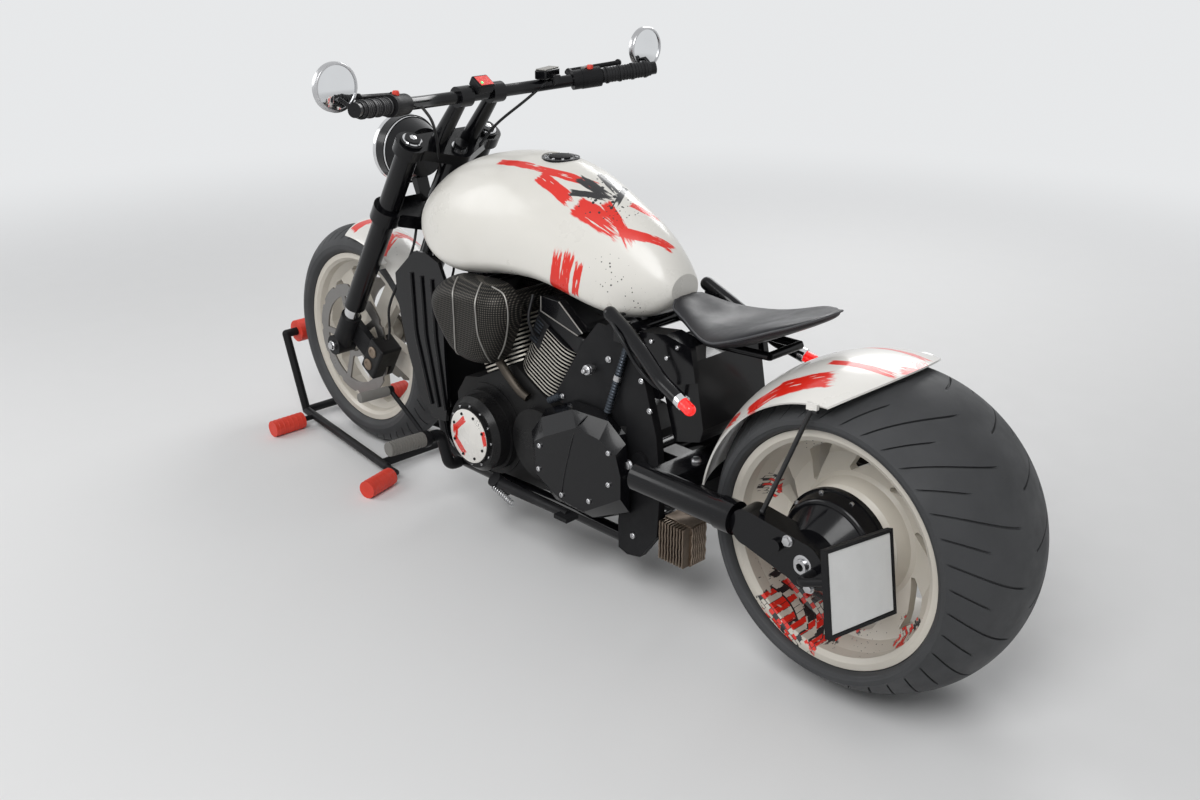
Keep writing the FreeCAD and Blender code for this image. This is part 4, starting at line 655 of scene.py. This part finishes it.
DISC_PAINT = fender_paint("cover_paint", [
    (at(1068, 192, 302), at(1112, 192, 262), 0.016, LEFT, 11.0, 0.1),
    (at(1106, 192, 276), at(1106, 192, 230), 0.018, LEFT, 12.0, 0.1),
    (at(1110, 192, 240), at(1060, 192, 200), 0.018, LEFT, 13.0, 0.6),
    (at(1000, 192, 288), at(990, 192, 244), 0.016, LEFT, 14.0, 0.4),
], [(at(1016, 192, 302), 0.028, 260.0, 0.30)])
REAR_WHEEL = wheel_paint("rear_wheel_paint", REAR, [
    (Vector((0.07, 0.10, -0.16)), 0.13, 0.0075, 0.40),
    (Vector((-0.14, 0.10, -0.13)), 0.05, 0.006, 0.30),
    (Vector((0.18, 0.10, 0.05)), 0.045, 0.006, 0.24),
], [
    (Vector((0.10, 0.1, 0.16)), 0.08, 110.0, 0.20),
    (Vector((-0.08, 0.1, -0.19)), 0.09, 120.0, 0.18),
    (Vector((0.17, 0.1, -0.10)), 0.09, 150.0, 0.20),
    (Vector((-0.18, 0.1, 0.04)), 0.06, 150.0, 0.14),
])
FRONT_WHEEL = wheel_paint("front_wheel_paint", FRONT, [
    (Vector((-0.16, 0.03, 0.10)), 0.05, 0.008, 0.24),
], [(Vector((-0.10, 0.03, -0.16)), 0.08, 170.0, 0.2)])

for finish, nodes in (
        (GLOSS, "main_frame rear_loops side_covers radiator_cowl drive_cover fuel_cap swingarm final_drive "
                "fork_tubes fork_yokes handlebar risers mirrors headlight"),
        (SATIN, "pivot_plates radiator exhaust foot_controls number_plate fork_feet hand_controls gauge "
                "chock_frame side_stand"),
        (CAST, "crankcase alternator_cover clutch_cover rear_caliper front_calipers"),
        (STEEL, "rear_axle front_axle"),
        (CHROME, "fork_sliders"),
        (BROWNED, "rectifier"),
        (GRIP, "grips"),
        (REDS, "chock_rollers"),
        (LAMP, "tail_lamps"),
        (woven_mesh(), "air_cleaners"),
        (fin_metal(LEAN), "front_cylinder"),
        (fin_metal(-LEAN), "rear_cylinder"),
        (tank_paint(), "fuel_tank"),
        (FENDER, "rear_fender"),
        (MUDGUARD, "front_fender"),
        (REAR_WHEEL, "rear_wheel"),
        (FRONT_WHEEL, "front_wheel"),
        (brushed("front_disc_steel", (0.30, 0.29, 0.28), FRONT), "front_brake_discs"),
        (brushed("rear_disc_steel", (0.42, 0.41, 0.40), REAR), "rear_brake_disc")):
    for node in nodes.split():
        NODES[node].data.materials.clear()
        NODES[node].data.materials.append(finish.material)


# Tyres, with their grooves cut in the mesh

SWEEP, SWEEP_POWER = 0.9, 1.5
COLUMNS, COLUMN_GAP = 24, 0.018
GROOVE_END = 0.05
RING_RIDGE = 0.8


def groove_pitch(long_from, short_from, to, width, depth):
    """One pitch of the tread: a long and a short groove on each side, by turns. Each is (start of
    the pitch, side, from, to, width, depth), from and to in shares of the way to the tread's edge."""
    pitch = []
    for side, first in ((1, 0.0), (-1, 0.5)):
        pitch.append((first, side, long_from, to, width, depth))
        pitch.append((0.5 - first, side, short_from, to, width, depth))
    return pitch


def side_profile(crown, flange, bead, bulge):
    """Points from the tyre's bead out to the tread's edge on the left, with raised rings."""
    start = Vector(flange)
    chord = Vector((crown[0], crown[2] - crown[1])) - start
    out = Vector((chord.y, -chord.x)).normalized()
    points = [bead, (bead[0], flange[1]), flange]
    steps = 10
    for number in range(1, steps):
        share = number / steps
        ridge = RING_RIDGE if number in (3, 4, 7) else 0.0
        place = start + chord * share + out * (bulge * 4 * share * (1 - share) + ridge)
        points.append((place.x, place.y))
    return points


def tyre(name, node, axle, body, crown, flange, bead, bulge, repeats, grooves, rows):
    """A tyre turned about its axle. crown is (half width, rise, radius) of the tread's arc."""
    half, rise, top = crown
    arc = (half ** 2 + rise ** 2) / (2 * rise)
    reach = math.asin(half / arc)
    columns = {0.0}
    for start, _, _, _, width, _ in grooves:
        for shift in (-0.5, -0.3, 0.3, 0.5):
            columns.add((start + shift * width) % 1.0)
    for number in range(COLUMNS):
        share = number / COLUMNS
        if all(abs((share - other + 0.5) % 1.0 - 0.5) > COLUMN_GAP for other in columns):
            columns.add(share)
    sides = side_profile(crown, flange, bead, bulge)
    points = []
    for repeat in range(repeats):
        for column in sorted(columns):
            pitch = (repeat + column) / repeats
            ring = [(-y, radius, pitch + SWEEP / repeats) for y, radius in sides]
            for number in range(rows + 1):
                row = -1 + 2 * number / rows
                depth = 0.0
                for start, side, low, high, width, deep in grooves:
                    gap = abs((column - start + 0.5) % 1.0 - 0.5)
                    if row * side >= 0 and gap < width * 0.45 and low <= abs(row) <= high:
                        ends = min(abs(row) - low, high - abs(row)) / GROOVE_END
                        depth = max(depth, deep * min(1.0, ends))
                turn = row * reach
                ring.append(((arc - depth) * math.sin(turn), top - arc + (arc - depth) * math.cos(turn),
                             pitch + SWEEP * (abs(row) ** SWEEP_POWER) / repeats))
            ring += [(y, radius, pitch + SWEEP / repeats) for y, radius in reversed(sides)]
            for y, radius, share in ring:
                turn = 2 * math.pi * share
                points.append(axle + Vector((radius * math.cos(turn), y, -radius * math.sin(turn))) / 1000)
    count = len(sides) * 2 + rows + 1
    faces = []
    for start in range(0, len(points), count):
        after = (start + count) % len(points)
        for step in range(count):
            following = (step + 1) % count
            faces.append([start + step, after + step, after + following, start + following])
    piece = Shape().add(points, faces).done(name, TYRE, "tyre_rubber", body, sharp=28)
    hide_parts(node)


tyre("rear_tyre_tread", "rear_tyre", REAR, "rear_wheel", crown=(176, 70, 338), flange=(163, 246),
     bead=(151.7, 229.3), bulge=5, repeats=18, grooves=groove_pitch(0.10, 0.52, 0.97, 0.045, 5.0), rows=72)
tyre("front_tyre_tread", "front_tyre", FRONT, "front_wheel", crown=(62, 37, 318), flange=(52, 245),
     bead=(43.7, 229.3), bulge=8, repeats=26, grooves=groove_pitch(0.15, 0.55, 0.95, 0.055, 4.0), rows=40)


# The seat

def seat():
    """A firm smooth saddle: narrow nose, broad dished middle, raised tail, with piping at its rim.
    Its stations are (forward, half width, underside, top)."""
    stations = [
        (522, 38, 681, 708), (508, 59, 669, 702), (486, 68, 662, 697), (462, 76, 656, 692),
        (432, 92, 651, 688), (400, 110, 648, 686), (360, 132, 648, 687), (320, 148, 652, 696),
        (280, 144, 665, 710), (240, 132, 682, 725), (210, 110, 698, 733), (184, 82, 711, 738),
        (164, 60, 722, 744), (148, 40, 732, 748),
    ]
    sides, square, dish = 48, 2.6, 7
    rings, rim = [], []
    for x, half, low, high in stations:
        ring = []
        centre = (low + high) / 2
        for step in range(sides):
            turn = 2 * math.pi * step / sides
            across, up = math.sin(turn), math.cos(turn)
            reach = (abs(across) ** square + abs(up) ** square) ** (-1 / square)
            y = half * reach * across
            z = centre + (high - low) / 2 * reach * up
            if up > 0:
                z -= dish * math.exp(-(y / (half * 0.5)) ** 2) * min(1.0, half / 120)
            ring.append(at(x, y, z))
        rings.append(ring)
        rim.append(at(x, half - 1.2, centre + 3))
    nose, tail = [sum(ring, Vector()) / sides for ring in (rings[0], rings[-1])]
    shape = Shape().rings([[nose]] + rings + [[tail]])
    cover = shape.done("seat_cover", leather(), "seat_leather", smooth=1, sharp=180)
    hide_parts("seat")
    loop = rim + [mirrored(point) for point in reversed(rim)]
    Shape().swept(loop + [loop[0]], 2.4, 8, 4).done("seat_piping", PIPING, "seat_leather", sharp=60)


# Lying things on the model's skin

SKINS = {}


def on_skin(node, starts, way, lift=0.0):
    """Where lines from some starts meet a node's skin, lifted off it by millimetres."""
    if node not in SKINS:
        thing = NODES[node]
        points = [thing.matrix_world @ vertex.co for vertex in thing.data.vertices]
        SKINS[node] = BVHTree.FromPolygons(points, [tuple(face.vertices) for face in thing.data.polygons])
    found = []
    for start in starts:
        place, normal = SKINS[node].ray_cast(start, way)[:2]
        if place is not None:
            found.append(place + normal * (-lift if normal.dot(way) > 0 else lift) / 1000)
    return found


def on_left(node, spots, lift=0.0):
    """Where a node's left skin lies at some (forward, height) spots."""
    outside = 400
    return on_skin(node, [at(x, outside, z) for x, z in spots], -LEFT, lift)


# Engine

def cleaner_beads():
    """Three light beads over each air cleaner."""
    lines = [
        ((1078, 660), (1062, 655), (1046, 640), (1039, 612), (1038, 570), (1038, 525), (1040, 492),
         (1046, 470)),
        ((986, 666), (974, 660), (962, 636), (957, 606), (954, 558), (952, 520), (956, 494), (966, 476)),
        ((950, 665), (918, 654), (902, 628), (900, 596), (914, 552), (930, 520), (950, 488), (972, 466)),
    ]
    shape = Shape()
    for line in lines:
        shape.swept(on_left("air_cleaners", line, 0.6), 2.3, 8, 5)
    shape.twin().done("air_cleaner_beads", DULL, "bright_metal", sharp=60)


def rocker_trim():
    """A black cover with bright edges on the rear head, and a slatted plug recess below it."""
    corners = [(869, 609), (745, 579), (730, 588), (807, 645), (868, 645)]
    plate = Shape().prism([at(x, 92, z) for x, z in corners], LEFT * 0.022)
    plate.twin().done("rocker_plates", GLOSS, "black_gloss", bevel=1.2, sharp=35)
    bead = Shape()
    loop = [at(x, 114.4, z) for x, z in corners]
    for start, end in ((4, 0), (0, 1), (3, 2)):
        bead.swept([loop[start], loop[end]], 1.7, 8, 1)
    bead.twin().done("rocker_beads", DULL, "bright_metal", sharp=60)
    axis = Vector((-math.sin(LEAN), 0, math.cos(LEAN)))
    across = Vector((math.cos(LEAN), 0, math.sin(LEAN)))
    centre = at(877, 107, 555)
    recess = Shape().block(centre, (21, 9, 37), across, LEFT)
    recess.twin().done("plug_recess", HOSE, "black_satin", bevel=1.0)
    slats = Shape()
    for number in range(7):
        slats.block(centre + axis * (number * 9 - 27) / 1000 + across * 0.005 + LEFT * 0.009,
                    (12, 2, 2.0), across, LEFT)
    slats.twin().done("plug_recess_slats", SLATE, "cast_alloy", bevel=0.6)


def pale_disc():
    """The painted disc in the round cover, with its two rings of screws."""
    centre = at(1056, 192.3, 259)
    disc = Shape().turned([(0, 69), (1.2, 69), (1.9, 67.5), (1.9, 0)], centre, LEFT, 96)
    disc.done("cover_disc", DISC_PAINT, "pale_paint")
    screws, rim = Shape(), Shape()
    for place in around(centre + LEFT * 0.0019, AHEAD, UP, 58, 8, 0.5):
        screws.bolt(place, LEFT, 3.6, 2.6)
    screws.done("cover_screws", SATIN, "black_satin")
    for place in around(centre - LEFT * 0.008, AHEAD, UP, 76.5, 12):
        rim.bolt(place, LEFT, 3.4, 3.4)
    rim.done("cover_rim_screws", STEEL, "bright_metal")


def engine_bolts():
    """Bolts on the left covers, and a ribbed plug."""
    bolts = Shape()
    seats = ((712, 222), (790, 262), (786, 322), (560, 376), (560, 300), (622, 238))
    for place in on_left("drive_cover", seats):
        bolts.bolt(place, LEFT, 6.0, 4.5)
    for place in places((494, 138.2, 478), (478, 138.2, 300), (520, 138.2, 540), (540, 138.2, 160)):
        bolts.bolt(place, LEFT, 7.0, 5.5)
    for place in places((465, 121.2, 602), (436, 121.2, 632), (510, 121.2, 628)):
        bolts.bolt(place, LEFT, 5.0, 4.0)
    bolts.hexagon(at(625, 134.3, 560), LEFT, 6.0, 7.0)
    bolts.hexagon(at(776, 134.3, 430), LEFT, 5.0, 6.0)
    bolts.hexagon(at(386, 109, 386.2), UP, 9.0, 8.0)
    bolts.hexagon(at(528, 168, 349), LEFT, 10.0, 9.0)
    bolts.done("engine_bolts", STEEL, "bright_metal")
    plug = Shape().turned([(0, 8), (6, 8), (6, 11), (10, 11), (10, 8.5), (12, 8.5), (12, 12), (15, 12),
                           (15, 10.5), (17, 10.5), (17, 12), (22, 12), (24, 10), (24, 6), (31, 6),
                           (33, 4.5), (33, 0)], at(675, 134.2, 526), LEFT, 28)
    plug.done("switch_plug", STEEL, "bright_metal")


def engine_lines():
    """Breather pipe, the cover's seam, ribbed hoses, a cable and a clamp on the left of the engine."""
    pipe = Shape().swept(places((1012, 150, 484), (997, 140, 462), (965, 133, 424), (936, 131, 400),
                                (905, 128, 386)), 11, 16)
    pipe.done("breather_pipe", PIPE, "cast_alloy", sharp=60)
    line = ((654, 428), (664, 408), (676, 372), (690, 326), (702, 282), (710, 244), (714, 214), (716, 196))
    seam = Shape().swept(on_left("drive_cover", line, 0.1), 1.5, 8, 4)
    seam.done("drive_cover_seam", HOSE, "bright_metal", sharp=60)
    ribbed = Shape()
    start, end = places((560, 146, 606), (616, 148, 440))
    way, long = span(start, end)
    profile = []
    for number in range(22):
        rib = long * number / 22
        profile += [(rib, 6.4), (rib + 2.0, 8.6), (rib + 4.4, 8.6), (rib + 6.0, 6.4)]
    ribbed.turned(profile, start, way, 18)
    start, end = places((818, 138, 408), (778, 140, 431))
    profile = [(0, 0), (0, 6)]
    for rib in range(2, 42, 8):
        profile += [(rib, 9), (rib + 4, 9), (rib + 5, 6.5), (rib + 7.5, 6.5)]
    ribbed.turned(profile + [(45, 6), (45, 0)], start, span(start, end)[0], 18)
    ribbed.done("ribbed_hoses", SLATE, "black_satin")
    route = places((628, 70, 652), (604, 150, 664), (567, 178, 661), (534, 184, 636), (505, 172, 588),
                   (466, 160, 552), (440, 128, 530), (424, 104, 516))
    cable = Shape().swept(route, 4.2, 12)
    cable.done("side_cable", HOSE, "black_gloss", sharp=60)
    clamp = Shape().turned([(-7, 9.4), (7, 9.4)], at(585, 147, 532), Vector((56, 2, -166)), 24)
    clamp.done("hose_clamps", STEEL, "bright_metal", sharp=60)


def spark_leads():
    """Leads from the heads up under the tank."""
    shape = Shape()
    for x, lean in ((876, 1), (1044, -1)):
        route = places((x, 117, 548), (x, 134, 560), (x + 10 * lean, 138, 596), (x + 24 * lean, 110, 640))
        shape.swept(route, 4.0, 12)
    shape.twin().done("spark_leads", HOSE, "black_satin", sharp=60)


# Rear end

def gear_case_details():
    """Bolts on the gear case and a washer on the axle's end."""
    shape = Shape()
    for place in on_left("final_drive", ((36, 378), (-20, 300))):
        shape.hexagon(place, LEFT, 9.5, 9.0)
    flange_face = 0.175
    starts = around(Vector((REAR.x, 0.4, REAR.z)), AHEAD, UP, 114, 10)
    for place in on_skin("final_drive", starts, -LEFT):
        if place.y < flange_face:
            shape.bolt(place, LEFT, 5.0, 5.0)
    shape.done("gear_case_bolts", STEEL, "bright_metal")
    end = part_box("rear_axle")[1].y
    ring = Shape().turned([(0.2, 22), (3, 22), (4, 20), (4, 14.5)],
                          Vector((REAR.x, end - 0.012, REAR.z)), LEFT)
    ring.done("axle_washer", STEEL, "bright_metal")


def plate_sheet():
    """The blank pale sheet in the plate's frame, which leans back and rolls to one side."""
    lean, roll = math.radians(14), math.radians(7.7)
    out = Vector((-math.cos(lean), 0, math.sin(lean)))
    side = Vector((0, math.cos(roll), math.sin(roll)))
    side = (side - out * side.dot(out)).normalized()
    tall = out.cross(side)
    centre = at(-163, 292, 391) + out * 0.0031
    half_wide, half_tall = 0.0905, 0.0715
    corners = [centre + side * a * half_wide + tall * b * half_tall
               for a, b in ((-1, -1), (1, -1), (1, 1), (-1, 1))]
    Shape().prism(corners, out * 0.0012).done("plate_sheet", PLATE, "pale_paint", bevel=0.4)


def lamp_collars():
    shape = Shape().turned([(-14, 16.4), (-3, 17.0), (0, 17.0), (1.5, 15.5), (1.5, 13.2)],
                           at(346, 200, 556), Vector((-72, 14, -22)))
    shape.twin().done("lamp_collars", CHROME, "bright_metal")


def rectifier_fins():
    """Wavy upright fins on the back of the box, and a bright edge on each of its own fins."""
    low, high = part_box("rectifier")
    tall = high.z - low.z
    waves = [(step / 12, math.sin(step * 1.7)) for step in range(13)]
    shape = Shape()
    for number in range(7):
        y = low.y + 0.050 * (number + 0.5) / 7
        shape.swept([Vector((low.x - 0.001, y + 0.0014 * sway, low.z + tall * (0.03 + 0.94 * rise)))
                     for rise, sway in waves], 2.6, 6, 2)
    for number in range(9):
        x = 395.8 + number * 8.6
        shape.swept([at(x + 0.7 * sway, 133.5, 132 + 90 * rise) for rise, sway in waves], 2.2, 6, 2)
    shape.done("rectifier_fins", BROWNED, "cast_alloy", sharp=60)


def silencer_details():
    """The silencer's rolled end, a black disc in its mouth as painted shade, and its three bands."""
    start, end = places((905, -232, 166), (430, -236, 204))
    way = span(start, end)[0]
    ring = Shape().turned([(0.2, 44), (5, 43), (7, 40), (6, 34), (-0.2, 33)], end, way, 40)
    ring.done("silencer_ring", STEEL, "bright_metal")
    # Painted shade: a flat black disc set in the rolled end stands for the dark inside of the open pipe.
    mouth_shade_disc = Shape().turned([(0.6, 33), (0.6, 0)], end, way, 40)
    mouth_shade_disc.done("silencer_mouth_shade", HOSE, "black_satin")
    bands = Shape()
    for share in (0.06, 0.5, 0.95):
        bands.turned([(-5, 45), (-4, 46), (4, 46), (5, 45)], start + (end - start) * share, way, 40)
    bands.done("silencer_bands", DULL, "bright_metal")


# Tank and controls

def cap_details():
    """The fuel cap's flap and its ring of screws."""
    top = at(920, 0, 942.3)
    flap = Shape().turned([(0, 27), (2.4, 27), (3.4, 25), (3.4, 0)], top, UP, 48)
    flap.done("cap_flap", SATIN, "black_satin")
    ring = Shape()
    for place in around(top, AHEAD, LEFT, 36, 10):
        ring.bolt(place, UP, 3.2, 2.6)
    ring.done("cap_screws", CHROME, "bright_metal")


def peg_rubbers():
    """Ribbed grey rubbers on the pegs and plain ones on the toe levers."""
    shape = Shape()
    start, end = places((1200.5, 216, 214.5), (1204, 330, 218))
    way, long = span(start, end)
    profile = [(0, 16.2), (1, 18.4)]
    ribs = 13
    for number in range(ribs):
        rib = 2 + (long - 6) * number / ribs
        width = (long - 6) / ribs
        profile += [(rib, 19.4), (rib + width * 0.55, 19.4), (rib + width * 0.62, 17.6),
                    (rib + width * 0.95, 17.6)]
    shape.turned(profile + [(long - 2, 19.0), (long + 1, 17.5), (long + 1.4, 0)], start, way, 28)
    start, end = places((1330, 234, 312), (1334, 318, 314))
    shape.turned([(0, 11.2), (1, 13), (78, 13.4), (84, 12.4), (85.5, 10), (85.5, 0)], start,
                 span(start, end)[0], 24)
    shape.twin().done("peg_rubbers", PEG, "grip_rubber")


def stand_spring():
    """The coil that pulls the side stand up."""
    eye, foot = places((992, 174, 140), (900, 190, 128))
    way = span(eye, foot)[0]
    side = way.orthogonal().normalized()
    turns, steps = 11, 10
    coil = around(Vector(), side, way.cross(side), 6.5, steps) * turns
    path = [eye + (foot - eye) * number / len(coil) + spot for number, spot in enumerate(coil + coil[:1])]
    Shape().swept(path, 1.4, 6, 1).done("stand_spring", STEEL, "bright_metal", "side_stand", sharp=60)


def fork_and_lamp():
    """Caps and bolts on the fork's top, the lamp's rims and its lens."""
    bright = Shape().hexagon(on_fork(-45, 0, 722.2), FORK_UP, 17, 13)
    for side in SIDES:
        bright.turned([(0, 25), (3, 25), (5, 23), (5, 14)], on_fork(0, 118 * side, 728.2), FORK_UP)
        bright.hexagon(on_fork(0, 118 * side, 730), FORK_UP, 9.5, 9)
        for end in (-1, 1):
            bright.bolt(on_fork(32 * end, 118 * side, 707), FORK_AHEAD * end, 4.5, 5)
    lamp_at = on_fork(104, 0, 592)
    bright.turned([(40, 88.4), (44, 90), (51, 90), (54, 87), (54, 80.5)], lamp_at, LEVEL_AHEAD, 64)
    bright.turned([(6, 84.5), (9, 86), (12, 86)], lamp_at, LEVEL_AHEAD, 64)
    bright.done("steering_bright", CHROME, "bright_metal", "steering")
    lens = Shape().turned([(50.4, 80), (55, 66), (58.5, 40), (59.5, 0)], lamp_at, LEVEL_AHEAD, 64)
    lens.done("headlight_lens", lens_glass(), "mirror_metal", "steering", sharp=60)


def mirror_faces():
    """The mirrors' glass and bright rims."""
    centre = on_fork(-88, 470, 1004) - LEVEL_AHEAD * 0.006
    glass = Shape().turned([(0.4, 47), (1.0, 46), (1.0, 0)], centre, -LEVEL_AHEAD, 48)
    glass.twin().done("mirror_glass", mirror_glass(), "mirror_metal", "steering", sharp=60)
    rims = Shape().turned([(-12.5, 50), (-12, 52.6), (0.4, 52.6), (2.4, 51), (2.4, 47.2), (0.4, 46.8)],
                          centre, -LEVEL_AHEAD, 48)
    rims.twin().done("mirror_rims", STEEL, "bright_metal", "steering")


def bar_fittings():
    """The gauge's lit face and light, the switches, and the brake's fluid pot."""
    top = on_fork(-42, 0, 926.2)
    face = Shape().block(top, (16, 19, 0.6), FORK_AHEAD, LEFT)
    face.done("gauge_face", DISPLAY, "red_plastic", "steering", bevel=0.3)
    dot = Shape().turned([(0, 3.4), (1.6, 3.2), (2.2, 0)],
                         top + LEFT * 0.012 - FORK_AHEAD * 0.008 + FORK_UP * 0.0006, FORK_UP, 20)
    dot.done("gauge_light", GREEN, "lamp_red", "steering", sharp=60)
    buttons, keys = Shape(), Shape()
    for place in on_skin("hand_controls", places((1133, 298, 1300), (1133, -298, 1300)), -UP):
        buttons.turned([(-2, 8), (5, 8), (8, 6.5), (8.6, 0)], place, UP, 24)
    buttons.done("switch_buttons", REDS, "red_plastic", "steering")
    for place in on_skin("hand_controls", places((1146, 290, 1300), (1146, -290, 1300)), -UP):
        keys.block(place + UP * 0.001, (7, 5, 3))
    keys.done("switch_keys", DULL, "bright_metal", "steering", bevel=0.8)
    ahead, across = Vector((0.95, 0.31, 0)).normalized(), Vector((-0.31, 0.95, 0)).normalized()
    pot = Shape().block(at(1182, -198, 1083), (16, 36, 11), ahead, across)
    pot.block(at(1170, -214, 1068), (8, 12, 12))
    pot.done("fluid_pot", GLOSS, "black_gloss", "steering", bevel=3)
    lid = Shape().block(at(1182, -198, 1095.6), (14, 33, 1.4), ahead, across)
    lid.done("fluid_pot_lid", DULL, "bright_metal", "steering", bevel=0.6)


def steering_hoses():
    """Brake hoses down the fork, and a hose and a cable from the bar to the head."""
    hose = Shape()
    for side in SIDES:
        line = ((-30, 34, 466), (-78, 66, 420), (-96, 92, 330), (-104, 100, 240), (-132, 100, 186),
                (-141, 98, 152))
        hose.swept([on_fork(x, y * side, z) for x, y, z in line], 3.6)
    from_bar = ((-1, ((1172, -190, 1066), (1210, -150, 1020), (1262, -96, 960), (1296, -60, 900))),
                (1, ((1128, 236, 1062), (1190, 160, 1010), (1258, 96, 950), (1298, 62, 890))))
    for side, line in from_bar:
        hose.swept(places(*line) + [on_fork(-40, 30 * side, 640), on_fork(-36, 26 * side, 520)], 3.6)
    hose.done("steering_hoses", HOSE, "black_satin", "steering", sharp=60)


def caliper_details():
    """Round pots on the calipers' faces, and nuts on the front axle."""
    low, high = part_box("front_calipers")
    centre = Vector(((low.x + high.x) / 2, high.y, (low.z + high.z) / 2))
    starts = [centre + (FORK_UP * step + FORK_AHEAD * 4) / 1000 + LEFT * 0.1 for step in (-24, 24)]
    pots = Shape()
    for place in on_skin("front_calipers", starts, -LEFT):
        pots.turned([(-1, 16), (2.5, 16), (4, 14), (4, 9), (2, 8), (2, 0)], place, LEFT)
    pots.twin().done("caliper_pots", BROWNED, "cast_alloy", "steering")
    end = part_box("front_axle")[1].y
    nuts = Shape().hexagon(Vector((FRONT.x, end - 0.002, FRONT.z)), LEFT, 11, 9)
    nuts.twin().done("axle_nuts", STEEL, "bright_metal", "steering")


def grip_ribs():
    shape = Shape()
    outer = on_fork(-147, 445, 987)
    way = span(on_fork(-42, 150, 885), outer)[0]
    inner = outer - way * 0.128
    for number in range(15):
        place = inner + (outer - inner) * (0.07 + 0.86 * number / 14)
        shape.turned([(-2.2, 18.1), (-1.6, 19.4), (1.6, 19.4), (2.2, 18.1)], place, way, 24)
    shape.twin().done("grip_ribs", GRIP, "grip_rubber", "steering", sharp=60)


def roller_bands():
    """Shallow rings round the chock's red rollers, front and back."""
    shape = Shape()
    for side in SIDES:
        knee = Vector((-7, 25 * side, 0))
        for start, way, axis in ((at(1922, 140.3 * side, 24), LEFT * side, LEFT),
                                 (at(1425, 158 * side, 24) + knee / 1000, knee.normalized(), knee)):
            for number in range(6):
                place = start + way * (12 + number * 15) / 1000
                shape.turned([(-2.5, 23.9), (-1.5, 24.7), (1.5, 24.7), (2.5, 23.9)], place, axis)
    shape.done("roller_bands", REDS, "red_plastic", "steering", sharp=60)


seat()
cleaner_beads()
rocker_trim()
pale_disc()
engine_bolts()
engine_lines()
spark_leads()
gear_case_details()
plate_sheet()
lamp_collars()
rectifier_fins()
silencer_details()
cap_details()
peg_rubbers()
stand_spring()
fork_and_lamp()
mirror_faces()
bar_fittings()
steering_hoses()
caliper_details()
grip_ribs()
roller_bands()


# Camera, lamps and floor

CAMERA_PLACE = Vector((-2.1548, 2.0308, 1.5567))
AZIMUTH, ELEVATION, ROLL = -0.773545283, -0.38535116, 0.00105869614
FOCAL_LENGTH = 39.38
BACKDROP = (0.80, 0.81, 0.82)
WORLD_LIGHT = 0.42
FLOOR_RADIUS = 40000
FADE_FROM, FADE_TO = 1.7, 5.2


def camera():
    forward = Vector((math.cos(ELEVATION) * math.cos(AZIMUTH), math.cos(ELEVATION) * math.sin(AZIMUTH),
                      math.sin(ELEVATION)))
    right = forward.cross(UP).normalized()
    up = right.cross(forward)
    across = right * math.cos(ROLL) + up * math.sin(ROLL)
    lift = up * math.cos(ROLL) - right * math.sin(ROLL)
    data = bpy.data.cameras.new("camera")
    data.lens = FOCAL_LENGTH
    data.sensor_width = 36
    data.sensor_fit = "HORIZONTAL"
    eye = bpy.data.objects.new("camera", data)
    turned = Matrix((across, lift, -forward)).transposed().to_4x4()
    eye.matrix_world = Matrix.Translation(CAMERA_PLACE) @ turned
    bpy.context.scene.collection.objects.link(eye)
    bpy.context.scene.camera = eye


def lamp(name, place, aim, size, power):
    data = bpy.data.lights.new(name, "AREA")
    data.shape = "DISK"
    data.size = size
    data.energy = power
    light = bpy.data.objects.new(name, data)
    light.location = place
    light.rotation_euler = (Vector(aim) - Vector(place)).to_track_quat("-Z", "Y").to_euler()
    bpy.context.scene.collection.objects.link(light)


def in_view(tree):
    """1 for what the camera sees, straight or by mirror and glass, and 0 for what lights the object."""
    rays = new_node(tree, "ShaderNodeLightPath").outputs
    seen = rays["Is Camera Ray"]
    for kind in ("Is Transmission Ray", "Is Glossy Ray"):
        seen = new_node(tree, "ShaderNodeMath", {0: seen, 1: rays[kind]}, operation="MAXIMUM").outputs[0]
    return seen


def surroundings():
    """A pale world and a round floor that fades into it with distance."""
    world = bpy.data.worlds.new("studio")
    world.use_nodes = True
    tree = world.node_tree
    backdrop = tree.nodes["Background"].inputs
    levels = {"Value": in_view(tree), "To Min": WORLD_LIGHT, "To Max": 1.0}
    level = new_node(tree, "ShaderNodeMapRange", levels)
    feed(tree, backdrop["Color"], BACKDROP)
    feed(tree, backdrop["Strength"], level.outputs[0])
    bpy.context.scene.world = world
    floor = Finish("studio_floor", (0.80, 0.80, 0.80), specular=0.2).dusty(0.6)
    far = floor.ramp(floor.vector("LENGTH", floor.place), FADE_FROM, FADE_TO)
    glow = floor.node("ShaderNodeEmission", {"Color": BACKDROP, "Strength": 1.0})
    both = floor.node("ShaderNodeMixShader", {0: floor.times(far, in_view(floor.tree)),
                                              1: floor.shader.outputs[0], 2: glow.outputs[0]})
    feed(floor.tree, floor.output.inputs[0], both.outputs[0])
    ground = Shape().turned([(0, 0), (0, FLOOR_RADIUS)], Vector((0, 0, -0.0005)), UP, 96).made(
        "studio_floor", floor)
    lamp("key", (-1.6, 2.6, 3.4), (0, 0, 0.4), 2.4, 90)
    lamp("fill", (2.6, 2.2, 2.2), (0, 0, 0.5), 2.0, 30)
    lamp("back", (1.2, -3.0, 2.6), (0, 0, 0.5), 2.2, 50)


camera()
surroundings()
bpy.context.scene.view_settings.view_transform = "Standard"
